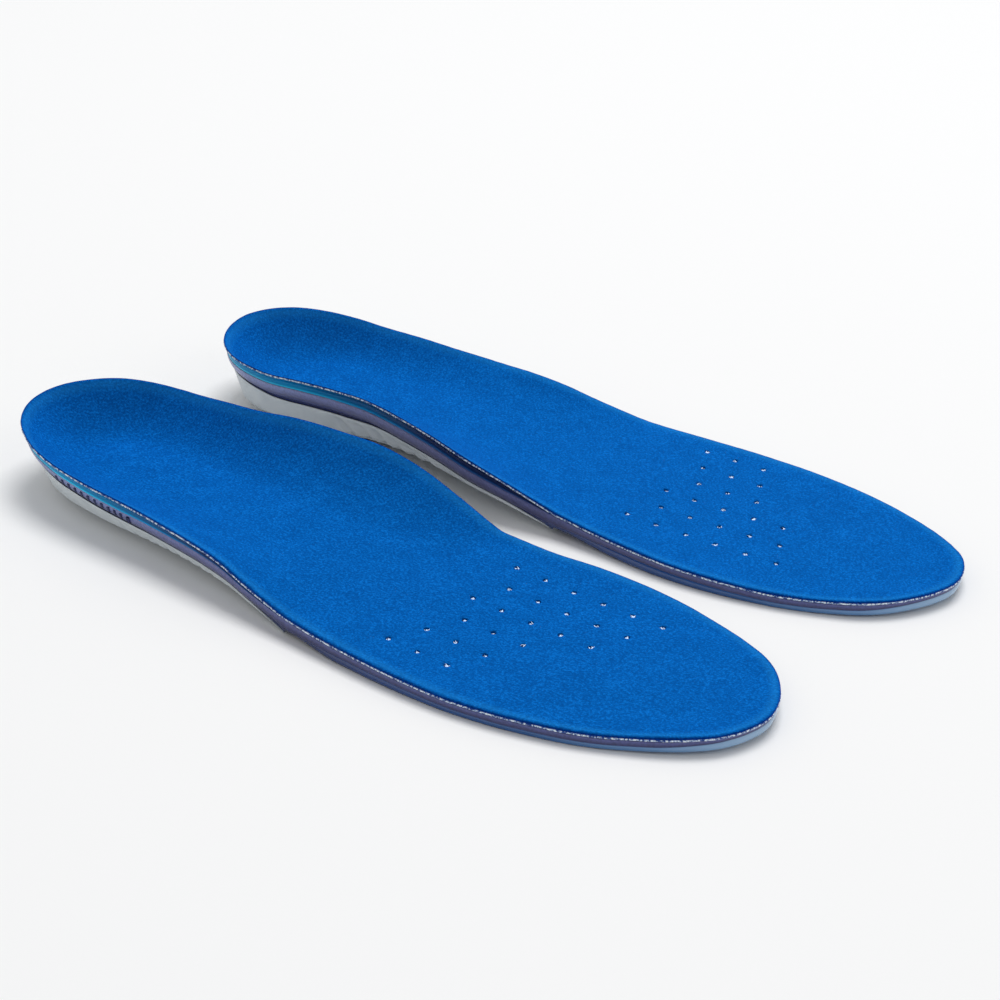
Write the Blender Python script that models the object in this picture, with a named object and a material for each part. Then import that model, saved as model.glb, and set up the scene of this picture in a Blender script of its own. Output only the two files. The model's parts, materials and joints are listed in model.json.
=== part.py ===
"""A left and right pair of layered cushioned insoles, 287 mm long.

Each insole is a stack of separate layers that share one master shape: a plan outline, a rim
height all round it and a bowl curve from the centre line up to the rim.  Every layer takes its
faces from that master shape, so the layers nest with a small gap when any size is changed.
Layers that run the full length are split at the flex line behind the ball of the foot, where
the forefoot bends up.  Sizes below are in millimetres; the model is in metres with +Z up and
+X towards the toes.
"""
import math

import bmesh
import bpy
import numpy as np
from mathutils import Matrix, Vector

MM = 0.001

# Overall plan size of one insole.
LENGTH = 287.0
BALL_WIDTH = 93.0
OUTLINE_LENGTH = 287.0          # size at which OUTLINE and every place below is drawn
OUTLINE_WIDTH = 93.0
SPLINE_STEPS = 12               # points of the smooth outline between two drawn ones
# Right insole from above, heel back to toe and round again; +Y is the arch side.
OUTLINE = [
    (0, 0), (2.5, 12.5), (9.5, 23.5), (21, 30.5), (38, 33.3), (62, 33.6), (87, 36.6),
    (114, 41.5), (134, 42.7), (157, 40.5), (180, 41.8), (207, 44.4), (232, 42.5), (254, 36.5),
    (273, 26.3), (285, 9.5), (287, -5), (279, -20.7), (254, -37), (232, -44.5), (210, -48.3),
    (182, -48.3), (147, -45.2), (112, -40.4), (77, -37), (47, -35), (25, -31), (10, -22.5),
    (2.5, -11.5),
]

# Rim heights above the floor.
HEEL_RIM = 25.5
ARCH_RIM = 26.0
INNER_HEEL_RIM = 23.0
OUTER_HEEL_RIM = 19.6
OUTER_WAIST_RIM = 16.2
TOE_SPRING = 1.5

# Layer thicknesses along the centre line (heel end, front end where they differ).
COVER = 0.8
BACKING = 0.4
UPPER_GEL_HEEL, UPPER_GEL_FRONT = 1.4, 0.4
FOAM_HEEL, FOAM_FOREFOOT = 1.8, 1.5
GEL_HEEL, GEL_FOREFOOT = 1.6, 1.4
CRADLE_HEEL, CRADLE_FRONT = 2.5, 0.6
GAP = 0.3                       # clearance between neighbouring pieces
VAULT = 2.2                     # free height under the middle of the arch

# Where things start and end along the centre line.
HEEL_CENTRE = 38.0
TOE_CENTRE = 245.0
CRADLE_END = 154.0              # front end of the cradle and of the upper gel
RAMP = 6.0                      # length over which layers close up after the cradle ends
FLEX_LINE = 174.0
FLEX_GAP = 0.5
FLEX_TILT = 12.0                # degrees that the flex line slants across the foot
FLEX_AXIS_CLEAR = 0.8           # height of the flex axis over the cover beside it

# Side wall.
WALL_LEAN = 0.5                 # inward travel per unit of depth, at the heel and waist
INNER_HEEL_LEAN = 0.32          # the same on the inner side of the heel
FOREFOOT_LEAN = 0.15
CHAMFER = 1.5                   # undercut of the base under the forefoot
BASE_EDGE = 0.5                 # height of the base's edge where it shows over the cradle
BASE_EDGE_LEAN = 0.1            # inward travel of that edge
GROOVE_SET_BACK = 0.2           # how far the groove over the base steps in, per unit of height
CRADLE_SET_BACK = 0.2           # step in from the foam's lower edge to the cradle's top
CRADLE_EDGE_MIN = 0.6           # least height of the cradle's side wall

# Heel pad seen from below.
PAD_LENGTH = 40.0
PAD_WIDTH = 22.0
PAD_CENTRE = 48.0

# How the pair stands.
PAIR_SPACING = 94.3
PAIR_STAGGER = 6.5
TOE_OUT = 1.35                  # degrees each insole turns outwards

# Mesh density.
RIB_STEP = 14.0                 # spacing of the ribs along the spine
RIB_CLEAR = 0.45                # share of RIB_STEP that a rib keeps from a layer's end
HEEL_FAN = 15
TOE_FAN = 15
INNER_RINGS = (0.0, 0.25, 0.5, 0.68)
OUTER_RINGS = (0.5, 1.0)
PAD_END_POINTS = 9
SHARP_ANGLE = 35.0

COLOURS = {                     # linear base colour, roughness
    "top_cover": ((0.003, 0.105, 0.45), 0.95),
    "cover_backing": ((0.72, 0.76, 0.82), 0.8),
    "upper_gel": ((0.0, 0.16, 0.31), 0.25),
    "foam_midsole": ((0.10, 0.11, 0.20), 0.6),
    "gel_base": ((0.005, 0.03, 0.12), 0.25),
    "arch_cradle": ((0.32, 0.37, 0.40), 0.6),
    "heel_pad": ((0.0, 0.14, 0.40), 0.3),
}


def along(place):
    """Place of a feature on the foot's length, from its place on the drawn outline."""
    return place * LENGTH / OUTLINE_LENGTH


def table(x, points):
    """Value at x on straight lines between (place, value) pairs, level beyond both ends."""
    places = [along(place) for place, _ in points]
    values = [value for _, value in points]
    k = int(np.searchsorted(places, x))
    if k == 0:
        return values[0]
    if k == len(places):
        return values[-1]
    share = (x - places[k - 1]) / (places[k] - places[k - 1])
    return values[k - 1] + (values[k] - values[k - 1]) * share


def closed_spline(points, steps):
    """Closed cubic curve through the points, as a fine polyline."""
    p = np.array(points, float)
    fine = []
    n = len(p)
    for i in range(n):
        a, b, c, d = p[i - 1], p[i], p[(i + 1) % n], p[(i + 2) % n]
        chord = np.linalg.norm(c - b)
        tangent_b = (c - a) / np.linalg.norm(c - a) * chord
        tangent_c = (d - b) / np.linalg.norm(d - b) * chord
        for t in np.arange(steps) / steps:
            fine.append((2 * t**3 - 3 * t**2 + 1) * b + (t**3 - 2 * t**2 + t) * tangent_b
                        + (3 * t**2 - 2 * t**3) * c + (t**3 - t**2) * tangent_c)
    return np.array(fine)


def plan_outline():
    """The rim in plan, scaled to LENGTH and BALL_WIDTH."""
    return closed_spline(OUTLINE, SPLINE_STEPS) * (LENGTH / OUTLINE_LENGTH, BALL_WIDTH / OUTLINE_WIDTH)


def forefoot_thickness():
    return COVER + BACKING + FOAM_FOREFOOT + GEL_FOREFOOT + 3 * GAP


def rim_height(x, arch_side):
    """Height of the rim; arch_side runs from 0 on the outer side to 1 on the arch side."""
    front = forefoot_thickness()
    inner = table(x, [(0, HEEL_RIM), (17, 0.4 * HEEL_RIM + 0.6 * INNER_HEEL_RIM),
                      (36, INNER_HEEL_RIM), (58, 0.5 * INNER_HEEL_RIM + 0.5 * ARCH_RIM),
                      (82, ARCH_RIM), (102, 0.95 * ARCH_RIM + 0.05 * front),
                      (117, 0.86 * ARCH_RIM + 0.14 * front),
                      (132, 0.66 * ARCH_RIM + 0.34 * front),
                      (147, 0.44 * ARCH_RIM + 0.56 * front),
                      (162, 0.2 * ARCH_RIM + 0.8 * front), (177, 0.1 * ARCH_RIM + 0.9 * front),
                      (207, front + 1.1), (247, front), (287, front + TOE_SPRING)])
    outer = table(x, [(0, HEEL_RIM), (22, 0.4 * HEEL_RIM + 0.6 * OUTER_HEEL_RIM),
                      (42, OUTER_HEEL_RIM), (77, 0.5 * OUTER_WAIST_RIM + 0.5 * OUTER_HEEL_RIM),
                      (102, OUTER_WAIST_RIM), (117, 0.82 * OUTER_WAIST_RIM + 0.18 * front),
                      (132, 0.47 * OUTER_WAIST_RIM + 0.53 * front),
                      (147, 0.22 * OUTER_WAIST_RIM + 0.78 * front), (167, front + 1.2),
                      (192, front + 0.5), (212, front), (252, front),
                      (287, front + TOE_SPRING)])
    return inner * arch_side + outer * (1 - arch_side)


def underside_edge(x, arch_side):
    """Height of the lower edge of the side wall, where the underside turns in."""
    inner = table(x, [(0, 4), (42, 3.6), (68, 4.6), (94, 7), (122, 7.8), (163, 2.6), (177, 1.0),
                      (197, 0), (252, 0), (287, TOE_SPRING)])
    outer = table(x, [(0, 4), (42, 3.2), (72, 3.2), (92, 4), (122, 2), (144, 0.8), (162, 0.2),
                      (177, 0), (252, 0), (287, TOE_SPRING)])
    return inner * arch_side + outer * (1 - arch_side)


def underside_centre(x):
    return table(x, [(68, 0), (90, 0.7 * VAULT), (110, VAULT), (132, 0.6 * VAULT), (152, 0)])


def beyond_cradle(x):
    """0 while the cradle is below, 1 once the layers have closed up in front of it."""
    return min(max((x - along(CRADLE_END)) / RAMP, 0.0), 1.0)


def centre_heights(x):
    """Centre-line height of each layer's top and bottom face at x, lowest layer first."""
    k = beyond_cradle(x)
    upper_gel = table(x, [(62, UPPER_GEL_HEEL), (122, UPPER_GEL_FRONT)])
    cradle = table(x, [(92, CRADLE_HEEL), (CRADLE_END, CRADLE_FRONT)])
    # Foam and base share the height that the upper gel and the cradle leave free.
    freed = (upper_gel + cradle + 2 * GAP) * table(x, [(CRADLE_END, 1.0), (202, 0.0)])
    foam = table(x, [(CRADLE_END, FOAM_HEEL), (202, FOAM_FOREFOOT)]) + k * freed / 2
    base = table(x, [(CRADLE_END, GEL_HEEL), (202, GEL_FOREFOOT)]) + k * freed / 2
    z = underside_centre(x)
    faces = {}
    for name, thickness, present in (("arch_cradle", cradle, 1 - k), ("gel_base", base, 1),
                                     ("foam_midsole", foam, 1), ("upper_gel", upper_gel, 1 - k),
                                     ("cover_backing", BACKING, 1), ("top_cover", COVER, 1)):
        faces[name] = (z + thickness * present, z)
        z += (thickness + GAP) * present
    return faces


def edge_bands(rim_x, rib_x, arch_side):
    """Depth below the rim and inset of each layer's top and bottom edge on the side wall."""
    k = beyond_cradle(rib_x)

    def sides(inner, outer):
        return table(rim_x, inner) * arch_side + table(rim_x, outer) * (1 - arch_side)

    upper_gel = sides([(0, 2.0), (47, 2.5), (62, 2.6), (92, 3.5), (127, 3.5), (160, 0.5)],
                      [(0, 2.0), (42, 2.0), (62, 3.2), (87, 2.0), (118, 0.5)])
    foam = sides([(0, 3.4), (62, 3.6), (92, 5.8), (122, 5.4), (160, 2.8), (187, FOAM_FOREFOOT)],
                 [(0, 3.4), (62, 3.6), (92, 4.5), (120, 5.2), (144, 3.0), (174, FOAM_FOREFOOT)])
    groove = sides([(0, 0.1), (22, 0.5), (47, 1.0), (72, 1.0), (92, 0.1)],
                   [(0, 0.1), (47, 0.4), (92, 0.1)]) * (1 - k)
    lean = sides([(42, INNER_HEEL_LEAN), (82, WALL_LEAN), (122, WALL_LEAN),
                  (172, FOREFOOT_LEAN)],
                 [(122, WALL_LEAN), (172, FOREFOOT_LEAN)])
    rim = rim_height(rim_x, arch_side)
    floor_edge = underside_edge(rim_x, arch_side)

    cover_low = COVER
    backing_top, backing_low = COVER + GAP, COVER + GAP + BACKING
    wall_top = backing_low + GAP

    def inset(depth):
        return lean * max(depth - wall_top, 0.0)

    gel_low = wall_top + upper_gel
    foam_top = gel_low + GAP - k * (upper_gel + GAP)
    foam_low = foam_top + foam
    base_top = foam_low + GAP + groove
    base_low_under_cradle = base_top + BASE_EDGE
    base_low = base_low_under_cradle * (1 - k) + (rim - floor_edge) * k
    base_in = inset(base_top) + GROOVE_SET_BACK * groove
    cradle_top = base_low_under_cradle + GAP
    cradle_low = max(rim - floor_edge, cradle_top + CRADLE_EDGE_MIN)
    cradle_in = inset(foam_low) + CRADLE_SET_BACK
    return {
        "top_cover": ((0.0, 0.0), (cover_low, 0.0)),
        "cover_backing": ((backing_top, 0.0), (backing_low, 0.0)),
        "upper_gel": ((wall_top, 0.0), (gel_low, inset(gel_low))),
        "foam_midsole": ((foam_top, inset(foam_top)), (foam_low, inset(foam_low))),
        "gel_base": ((base_top, base_in), (base_low, base_in + BASE_EDGE_LEAN + k * CHAMFER)),
        "arch_cradle": ((cradle_top, cradle_in),
                        (cradle_low, cradle_in + lean * (cradle_low - cradle_top))),
    }


def bowl(r, x):
    """Share of the rise from centre to rim at the radius r; flat inside the first part."""
    flat = table(x, [(62, 0.35), (97, 0.15), (132, 0.15), (182, 0.5)])
    return (max(r - flat, 0.0) / (1 - flat)) ** 2


def flex_tilt(x):
    return math.radians(FLEX_TILT) * table(x, [(62, 0.0), (142, 1.0)])


def rib_places(start, end):
    """Rib places between start and end, with a rib wherever a layer starts or ends."""
    keys = [along(HEEL_CENTRE), along(CRADLE_END), along(CRADLE_END) + RAMP, along(TOE_CENTRE),
            along(FLEX_LINE) - FLEX_GAP / 2, along(FLEX_LINE) + FLEX_GAP / 2, start, end]
    count = int((along(TOE_CENTRE) - along(HEEL_CENTRE)) // RIB_STEP)
    grid = [along(HEEL_CENTRE) + RIB_STEP * i for i in range(count + 1)]
    grid = [x for x in grid if min(abs(x - key) for key in keys) > RIB_STEP * RIB_CLEAR]
    ribs = sorted(set(grid + keys))
    return [x for x in ribs if start <= x <= end]


def spokes(start, end, heel):
    """Spine place and direction of every spoke, round the heel or round the toe."""
    ribs = rib_places(start, end)
    if heel:
        ribs = ribs[::-1]
    outer = [(x, -math.pi / 2 - flex_tilt(x)) for x in ribs]
    inner = [(x, math.pi / 2 - flex_tilt(x)) for x in reversed(ribs)]
    if heel:
        first, last = -math.pi / 2, -3 * math.pi / 2
        fan_x, count = along(HEEL_CENTRE), HEEL_FAN
    else:
        tilt = flex_tilt(along(TOE_CENTRE))
        first, last = -math.pi / 2 - tilt, math.pi / 2 - tilt
        fan_x, count = along(TOE_CENTRE), TOE_FAN
    fan = [(fan_x, angle) for angle in np.linspace(first, last, count)[1:-1]]
    return outer + fan + inner


def reach(outline, x, direction):
    """Distance from the spine point (x, 0) to the outline along the direction."""
    origin = np.array((x, 0.0))
    normal = np.array((-direction[1], direction[0]))
    offset = (outline - origin) @ normal
    ahead = (outline - origin) @ np.array(direction)
    best = 0.0
    for i in range(len(outline)):
        j = (i + 1) % len(outline)
        if (offset[i] > 0) != (offset[j] > 0):
            share = offset[i] / (offset[i] - offset[j])
            best = max(best, ahead[i] + share * (ahead[j] - ahead[i]))
    return best


def layer_grid(name, face, outline, spoke_list):
    """Points of one face of a layer: a list of rings for each spoke, centre first."""
    grid = []
    for x, angle in spoke_list:
        direction = (math.cos(angle), math.sin(angle))
        radius = reach(outline, x, direction)
        rim_x = x + direction[0] * radius
        across = direction[1] / math.cos(flex_tilt(x))
        arch_side = 0.5 + 0.5 * min(max(across, -1.0), 1.0)
        depth, inset = edge_bands(rim_x, x, arch_side)[name][face]
        centre = centre_heights(x)[name][face]
        edge = rim_height(rim_x, arch_side) - depth
        edge_r = 1 - inset / radius
        rings = list(INNER_RINGS) + [INNER_RINGS[-1] + (edge_r - INNER_RINGS[-1]) * share
                                     for share in OUTER_RINGS]
        rise = (edge - centre) / bowl(edge_r, rim_x)
        grid.append([(x + direction[0] * radius * r, direction[1] * radius * r,
                      centre + rise * bowl(r, rim_x)) for r in rings])
    return grid


def closed_layer(name, top, bottom):
    """Mesh of a layer from its top and bottom grids, with its side wall and its cut end."""
    bm = bmesh.new()
    verts = {}

    def vert(point):
        key = tuple(round(value, 5) for value in point)
        if key not in verts:
            verts[key] = bm.verts.new([value * MM for value in point])
        return verts[key]

    def face(*points):
        corners = list(dict.fromkeys(vert(point) for point in points))
        if len(corners) > 2:
            bm.faces.new(corners)

    last = len(top[0]) - 1
    for a, b in zip(range(len(top) - 1), range(1, len(top))):
        for j in range(last):
            face(top[a][j], top[a][j + 1], top[b][j + 1], top[b][j])
            face(bottom[a][j], bottom[b][j], bottom[b][j + 1], bottom[a][j + 1])
        face(top[a][last], bottom[a][last], bottom[b][last], top[b][last])
    for end in (0, -1):
        for j in range(last):
            face(top[end][j], top[end][j + 1], bottom[end][j + 1], bottom[end][j])
    bmesh.ops.recalc_face_normals(bm, faces=bm.faces)
    mesh = bpy.data.meshes.new(name)
    bm.to_mesh(mesh)
    bm.free()
    mesh.shade_smooth()
    mesh.set_sharp_from_angle(angle=math.radians(SHARP_ANGLE))
    return mesh


def new_object(name, mesh, collection, parent, kind):
    """Object at its parent's origin, with its own material."""
    obj = bpy.data.objects.new(name, mesh)
    collection.objects.link(obj)
    obj.parent = parent
    colour, roughness = COLOURS[kind]
    material = bpy.data.materials.new(name)
    material.use_nodes = True
    shader = material.node_tree.nodes["Principled BSDF"]
    shader.inputs["Base Color"].default_value = (*colour, 1.0)
    shader.inputs["Roughness"].default_value = roughness
    mesh.materials.append(material)
    return obj


def mirror_mesh(mesh):
    """The left insole's copy of a right insole's mesh."""
    mesh.transform(Matrix.Scale(-1, 4, (0, 1, 0)))
    mesh.flip_normals()


def pad_outline(grow):
    """Slot-shaped outline of the heel pad, widened all round by grow."""
    half = PAD_WIDTH / 2 + grow
    straight = (PAD_LENGTH - PAD_WIDTH) / 2
    middle = along(PAD_CENTRE)
    turns = np.linspace(-math.pi / 2, math.pi / 2, PAD_END_POINTS)
    front = [(middle + straight + half * math.cos(a), half * math.sin(a)) for a in turns]
    back = [(middle - straight - half * math.cos(a), -half * math.sin(a)) for a in turns]
    return front + back


def pad_mesh(name, grow, low, high):
    """Upright slot-shaped block between two heights."""
    bm = bmesh.new()
    ring = [bm.verts.new((x * MM, y * MM, low * MM)) for x, y in pad_outline(grow)]
    base = bm.faces.new(ring)
    lifted = bmesh.ops.extrude_face_region(bm, geom=[base])
    moved = [item for item in lifted["geom"] if isinstance(item, bmesh.types.BMVert)]
    bmesh.ops.translate(bm, verts=moved, vec=(0, 0, (high - low) * MM))
    bmesh.ops.recalc_face_normals(bm, faces=bm.faces)
    mesh = bpy.data.meshes.new(name)
    bm.to_mesh(mesh)
    bm.free()
    return mesh


def empty(name, collection, parent=None):
    obj = bpy.data.objects.new(name, None)
    obj.empty_display_size = 0.02
    collection.objects.link(obj)
    obj.parent = parent
    return obj


def flex_axis():
    """A point on the flex axis and its direction across the right insole, arch side first.

    Turning the right insole's forefoot about this direction by the right-hand rule lifts it.
    """
    x = along(FLEX_LINE)
    heights = [rim_height(x + side * BALL_WIDTH / 2 * math.sin(math.radians(FLEX_TILT)),
                          0.5 + 0.5 * side) for side in (-1, 1)]
    top = max(heights + [centre_heights(x)["top_cover"][0]]) + FLEX_AXIS_CLEAR
    tilt = flex_tilt(x)
    return Vector((x, 0, top)) * MM, Vector((-math.sin(tilt), -math.cos(tilt), 0))


def build_layers(side, outline, collection, body, fore):
    """All layered pieces of one insole; fore is the empty on the flex axis."""
    split = along(FLEX_LINE)
    flip = side == "left"
    rear_spokes = spokes(along(HEEL_CENTRE), split - FLEX_GAP / 2, heel=True)
    fore_spokes = spokes(split + FLEX_GAP / 2, along(TOE_CENTRE), heel=False)
    short_spokes = spokes(along(HEEL_CENTRE), along(CRADLE_END), heel=True)
    full_length = ("top_cover", "cover_backing", "foam_midsole", "gel_base")
    jobs = [(kind, "_rear", rear_spokes, body) for kind in full_length]
    jobs += [(kind, "_forefoot", fore_spokes, fore) for kind in full_length]
    jobs += [(kind, "", short_spokes, body) for kind in ("upper_gel", "arch_cradle")]
    made = {}
    for kind, end, spoke_list, parent in jobs:
        name = f"{side}_{kind}{end}"
        mesh = closed_layer(name, layer_grid(kind, 0, outline, spoke_list),
                            layer_grid(kind, 1, outline, spoke_list))
        if flip:
            mirror_mesh(mesh)
        if parent is fore:
            mesh.transform(Matrix.Translation(-fore.location))
        made[name] = new_object(name, mesh, collection, parent, kind)
    return made


def build_heel_pad(side, made, collection, cutters, body):
    """Heel pad, and the window that it sits in through the cradle's floor."""
    centre_top = centre_heights(along(PAD_CENTRE))["arch_cradle"][0]
    window = bpy.data.objects.new(f"{side}_pad_window",
                                  pad_mesh(f"{side}_pad_window", GAP, -GAP, centre_top + GAP))
    cutters.objects.link(window)
    window.parent = body
    window.display_type = "WIRE"
    window.hide_render = True
    cut = made[f"{side}_arch_cradle"].modifiers.new("pad_window", "BOOLEAN")
    cut.object = window
    cut.operation = "DIFFERENCE"
    cut.solver = "EXACT"
    name = f"{side}_heel_pad"
    new_object(name, pad_mesh(name, 0.0, 0.0, centre_top), collection, body, "heel_pad")


def pair_centre(outline):
    """Middle of the pair's plan box when the right heel stands at the origin."""
    corners = []
    for side in ("right", "left"):
        place = pair_matrix(side)
        sign = -1 if side == "left" else 1
        corners += [place @ Vector((x * MM, sign * y * MM, 0)) for x, y in outline]
    low = [min(c[i] for c in corners) for i in (0, 1)]
    high = [max(c[i] for c in corners) for i in (0, 1)]
    return Vector(((low[0] + high[0]) / 2, (low[1] + high[1]) / 2, 0))


def pair_matrix(side):
    """Where an insole's heel stands, and how far it turns its toe outwards."""
    sign = 1 if side == "left" else -1
    shift = Matrix.Translation((sign * PAIR_STAGGER / 2 * MM, sign * PAIR_SPACING / 2 * MM, 0))
    return shift @ Matrix.Rotation(sign * math.radians(TOE_OUT), 4, "Z")


def main():
    for obj in list(bpy.data.objects):
        bpy.data.objects.remove(obj, do_unlink=True)
    parts = bpy.data.collections.new("cushioned_insoles")
    cutters = bpy.data.collections.new("cutters")
    bpy.context.scene.collection.children.link(parts)
    bpy.context.scene.collection.children.link(cutters)
    outline = plan_outline()
    middle = pair_centre(outline)
    axis_point, axis_direction = flex_axis()
    for side in ("right", "left"):
        body = empty(f"{side}_insole", parts)
        body.matrix_world = Matrix.Translation(-middle) @ pair_matrix(side)
        fore = empty(f"{side}_flex_axis", parts, body)
        fore.location = axis_point
        made = build_layers(side, outline, parts, body, fore)
        build_heel_pad(side, made, parts, cutters, body)
        bpy.context.view_layer.update()
        # The left insole is a mirror image in Y, so its axis leans the other way.
        lean = -axis_direction.x if side == "left" else axis_direction.x
        world = body.matrix_world.to_3x3() @ Vector((lean, axis_direction.y, 0))
        print(side, "flex axis at", [round(v, 5) for v in fore.matrix_world.translation],
              "along", [round(v, 5) for v in world])


main()
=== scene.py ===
# %% [markdown]
# # A pair of cushioned insoles
# Each insole is a stack of bonded layers: a brushed velour cover on a white knit backing, a
# teal gel layer under the heel and arch, a lavender foam midsole, a dark blue gel base, and a
# grey moulded cradle with a soft heel pad.  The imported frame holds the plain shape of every
# layer.  This lesson measures that frame, then builds each layer again as a fine skin with the
# edge, surface and finish that the real material has.

# %% Load the frame
import json
import math

import bmesh
import bpy
import numpy as np
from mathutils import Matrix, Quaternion, Vector
from mathutils.bvhtree import BVHTree
from mathutils.kdtree import KDTree


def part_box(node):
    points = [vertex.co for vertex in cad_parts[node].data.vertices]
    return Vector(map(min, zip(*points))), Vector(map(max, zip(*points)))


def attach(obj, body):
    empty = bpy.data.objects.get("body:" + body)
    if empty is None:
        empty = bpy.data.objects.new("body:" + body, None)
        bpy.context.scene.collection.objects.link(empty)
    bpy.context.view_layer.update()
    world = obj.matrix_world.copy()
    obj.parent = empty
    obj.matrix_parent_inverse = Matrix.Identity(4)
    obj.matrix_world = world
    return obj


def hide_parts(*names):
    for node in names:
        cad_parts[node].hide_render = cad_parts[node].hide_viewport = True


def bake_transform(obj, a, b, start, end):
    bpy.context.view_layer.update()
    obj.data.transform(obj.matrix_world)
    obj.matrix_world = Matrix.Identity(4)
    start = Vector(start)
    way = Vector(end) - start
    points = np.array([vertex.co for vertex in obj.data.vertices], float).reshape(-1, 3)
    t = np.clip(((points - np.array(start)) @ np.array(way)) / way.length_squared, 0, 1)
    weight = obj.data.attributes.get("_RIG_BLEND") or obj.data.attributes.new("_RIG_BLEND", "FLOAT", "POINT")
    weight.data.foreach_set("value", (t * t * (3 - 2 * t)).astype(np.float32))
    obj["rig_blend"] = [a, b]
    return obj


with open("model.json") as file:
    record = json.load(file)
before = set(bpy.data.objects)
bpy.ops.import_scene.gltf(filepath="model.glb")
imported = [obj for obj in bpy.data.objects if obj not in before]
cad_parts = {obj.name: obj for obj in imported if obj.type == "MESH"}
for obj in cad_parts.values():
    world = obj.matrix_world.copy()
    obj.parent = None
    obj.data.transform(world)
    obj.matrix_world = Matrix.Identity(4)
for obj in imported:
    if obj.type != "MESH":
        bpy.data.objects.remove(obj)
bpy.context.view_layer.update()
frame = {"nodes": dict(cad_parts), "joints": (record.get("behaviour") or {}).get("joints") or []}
MM = 0.001
SIDES = ("right", "left")

# %% [markdown]
# The camera comes first, because it decides how fine each detail has to be.  A long lens from
# the outer toe side shows one insole's outer wall and the other one's arch wall.

# %% Camera
CAMERA_PLACE = Vector((0.38990, -0.55646, 0.34266))
CAMERA_TARGET = Vector((-0.00570, 0.02189, 0.0))
CAMERA_ROLL = math.radians(2.034)
CAMERA_LENS_MM = 83.03

camera = bpy.data.objects.new("camera", bpy.data.cameras.new("camera"))
camera.data.lens = CAMERA_LENS_MM
camera.data.sensor_width = 36.0
camera.location = CAMERA_PLACE
aim = (CAMERA_TARGET - CAMERA_PLACE).to_track_quat("-Z", "Y")
camera.rotation_mode = "QUATERNION"
camera.rotation_quaternion = aim @ Quaternion((0, 0, 1), CAMERA_ROLL)
bpy.context.scene.collection.objects.link(camera)
bpy.context.scene.camera = camera
print("camera at", [round(v, 3) for v in camera.location])

# %% [markdown]
# Colours are written as the familiar sRGB hex values, and one function turns them into the
# linear numbers that shaders want.  One more function adds any shader node: it takes the kind
# of node, its inputs (numbers or other nodes' outputs), its settings, and the stops of a colour
# ramp.  A node's output can then go straight into the next call, so a material reads from top
# to bottom in the order in which its colour is worked out.

# %% Colour and node helpers


def linear(hex_colour):
    """Linear RGBA of an sRGB hex colour."""
    parts = [int(hex_colour[i:i + 2], 16) / 255 for i in (1, 3, 5)]
    values = [c / 12.92 if c <= 0.04045 else ((c + 0.055) / 1.055) ** 2.4 for c in parts]
    return (*values, 1.0)


def add(tree, kind, inputs=None, stops=(), **settings):
    """A new node with its settings, its inputs and, on a colour ramp, (place, hex) stops."""
    made = tree.nodes.new(kind)
    for name, value in settings.items():
        setattr(made, name, value)
    for name, value in (inputs or {}).items():
        if isinstance(value, bpy.types.NodeSocket):
            tree.links.new(value, made.inputs[name])
        else:
            made.inputs[name].default_value = value
    while stops and len(made.color_ramp.elements) < len(stops):
        made.color_ramp.elements.new(0.5)
    for element, (place, colour) in zip(made.color_ramp.elements if stops else (), stops):
        element.position = place
        element.color = linear(colour)
    return made


def blank_material(name):
    """A material with its node tree and its Principled shader."""
    material = bpy.data.materials.new(name)
    material.use_nodes = True
    return material, material.node_tree, material.node_tree.nodes["Principled BSDF"]


print("mid grey in linear light:", [round(v, 3) for v in linear("#808080")])

# %% [markdown]
# The floor is a plain pale sheet and the light is soft: a wide softbox above and behind the
# insoles, a weaker one from the toe side, and a bright surround.  A small lamp close by would
# be simpler, but it would light the floor in a pool and give the insoles hard shadows.

# %% Floor and lights
FLOOR_COLOUR = "#F4F4F4"
FLOOR_SIZE = 6.0                # metres
FLOOR_DROP = 0.0002             # metres, which keeps it clear of the lowest faces
SURROUND = 0.52

scene = bpy.context.scene
scene.view_settings.view_transform = "Standard"
floor_material, _, floor_shader = blank_material("pale_floor")
floor_shader.inputs["Base Color"].default_value = linear(FLOOR_COLOUR)
floor_shader.inputs["Roughness"].default_value = 0.85
floor_mesh = bpy.data.meshes.new("floor")
half = FLOOR_SIZE / 2
floor_mesh.from_pydata([(-half, -half, 0), (half, -half, 0), (half, half, 0), (-half, half, 0)],
                       [], [(0, 1, 2, 3)])
floor_mesh.materials.append(floor_material)
floor = bpy.data.objects.new("floor", floor_mesh)
floor.location.z = -FLOOR_DROP
scene.collection.objects.link(floor)

world = bpy.data.worlds.new("surround")
world.use_nodes = True
world.node_tree.nodes["Background"].inputs["Color"].default_value = linear("#FDFEFF")
world.node_tree.nodes["Background"].inputs["Strength"].default_value = SURROUND
scene.world = world


def softbox(name, place, size, watts):
    """Square area light that faces the middle of the pair."""
    light = bpy.data.lights.new(name, "AREA")
    light.size = size
    light.energy = watts
    made = bpy.data.objects.new(name, light)
    made.location = place
    made.rotation_euler = (-Vector(place)).to_track_quat("-Z", "Y").to_euler()
    scene.collection.objects.link(made)


softbox("softbox_above_behind", (-0.2, 1.0, 3.0), 1.7, 58.0)
softbox("softbox_toe_side", (2.4, 0.4, 1.4), 1.4, 5.0)

# %% [markdown]
# Both insoles are mirror images, so everything is worked out once, in millimetres, on a right
# insole: x runs from the back of the heel to the toe, y towards the arch, z up.  The heel pad
# and the flex hinge of the frame both lie on the insole's own x axis, and that gives the
# matrix that carries the millimetre model to each insole's real place.

# %% Each insole's own axes
PAD_CENTRE = 48.0               # place of the heel pad's middle on the insole's x axis
hinges = {side: next(j for j in frame["joints"] if j["name"] == f"{side}_toe_flex")
          for side in SIDES}


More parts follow.
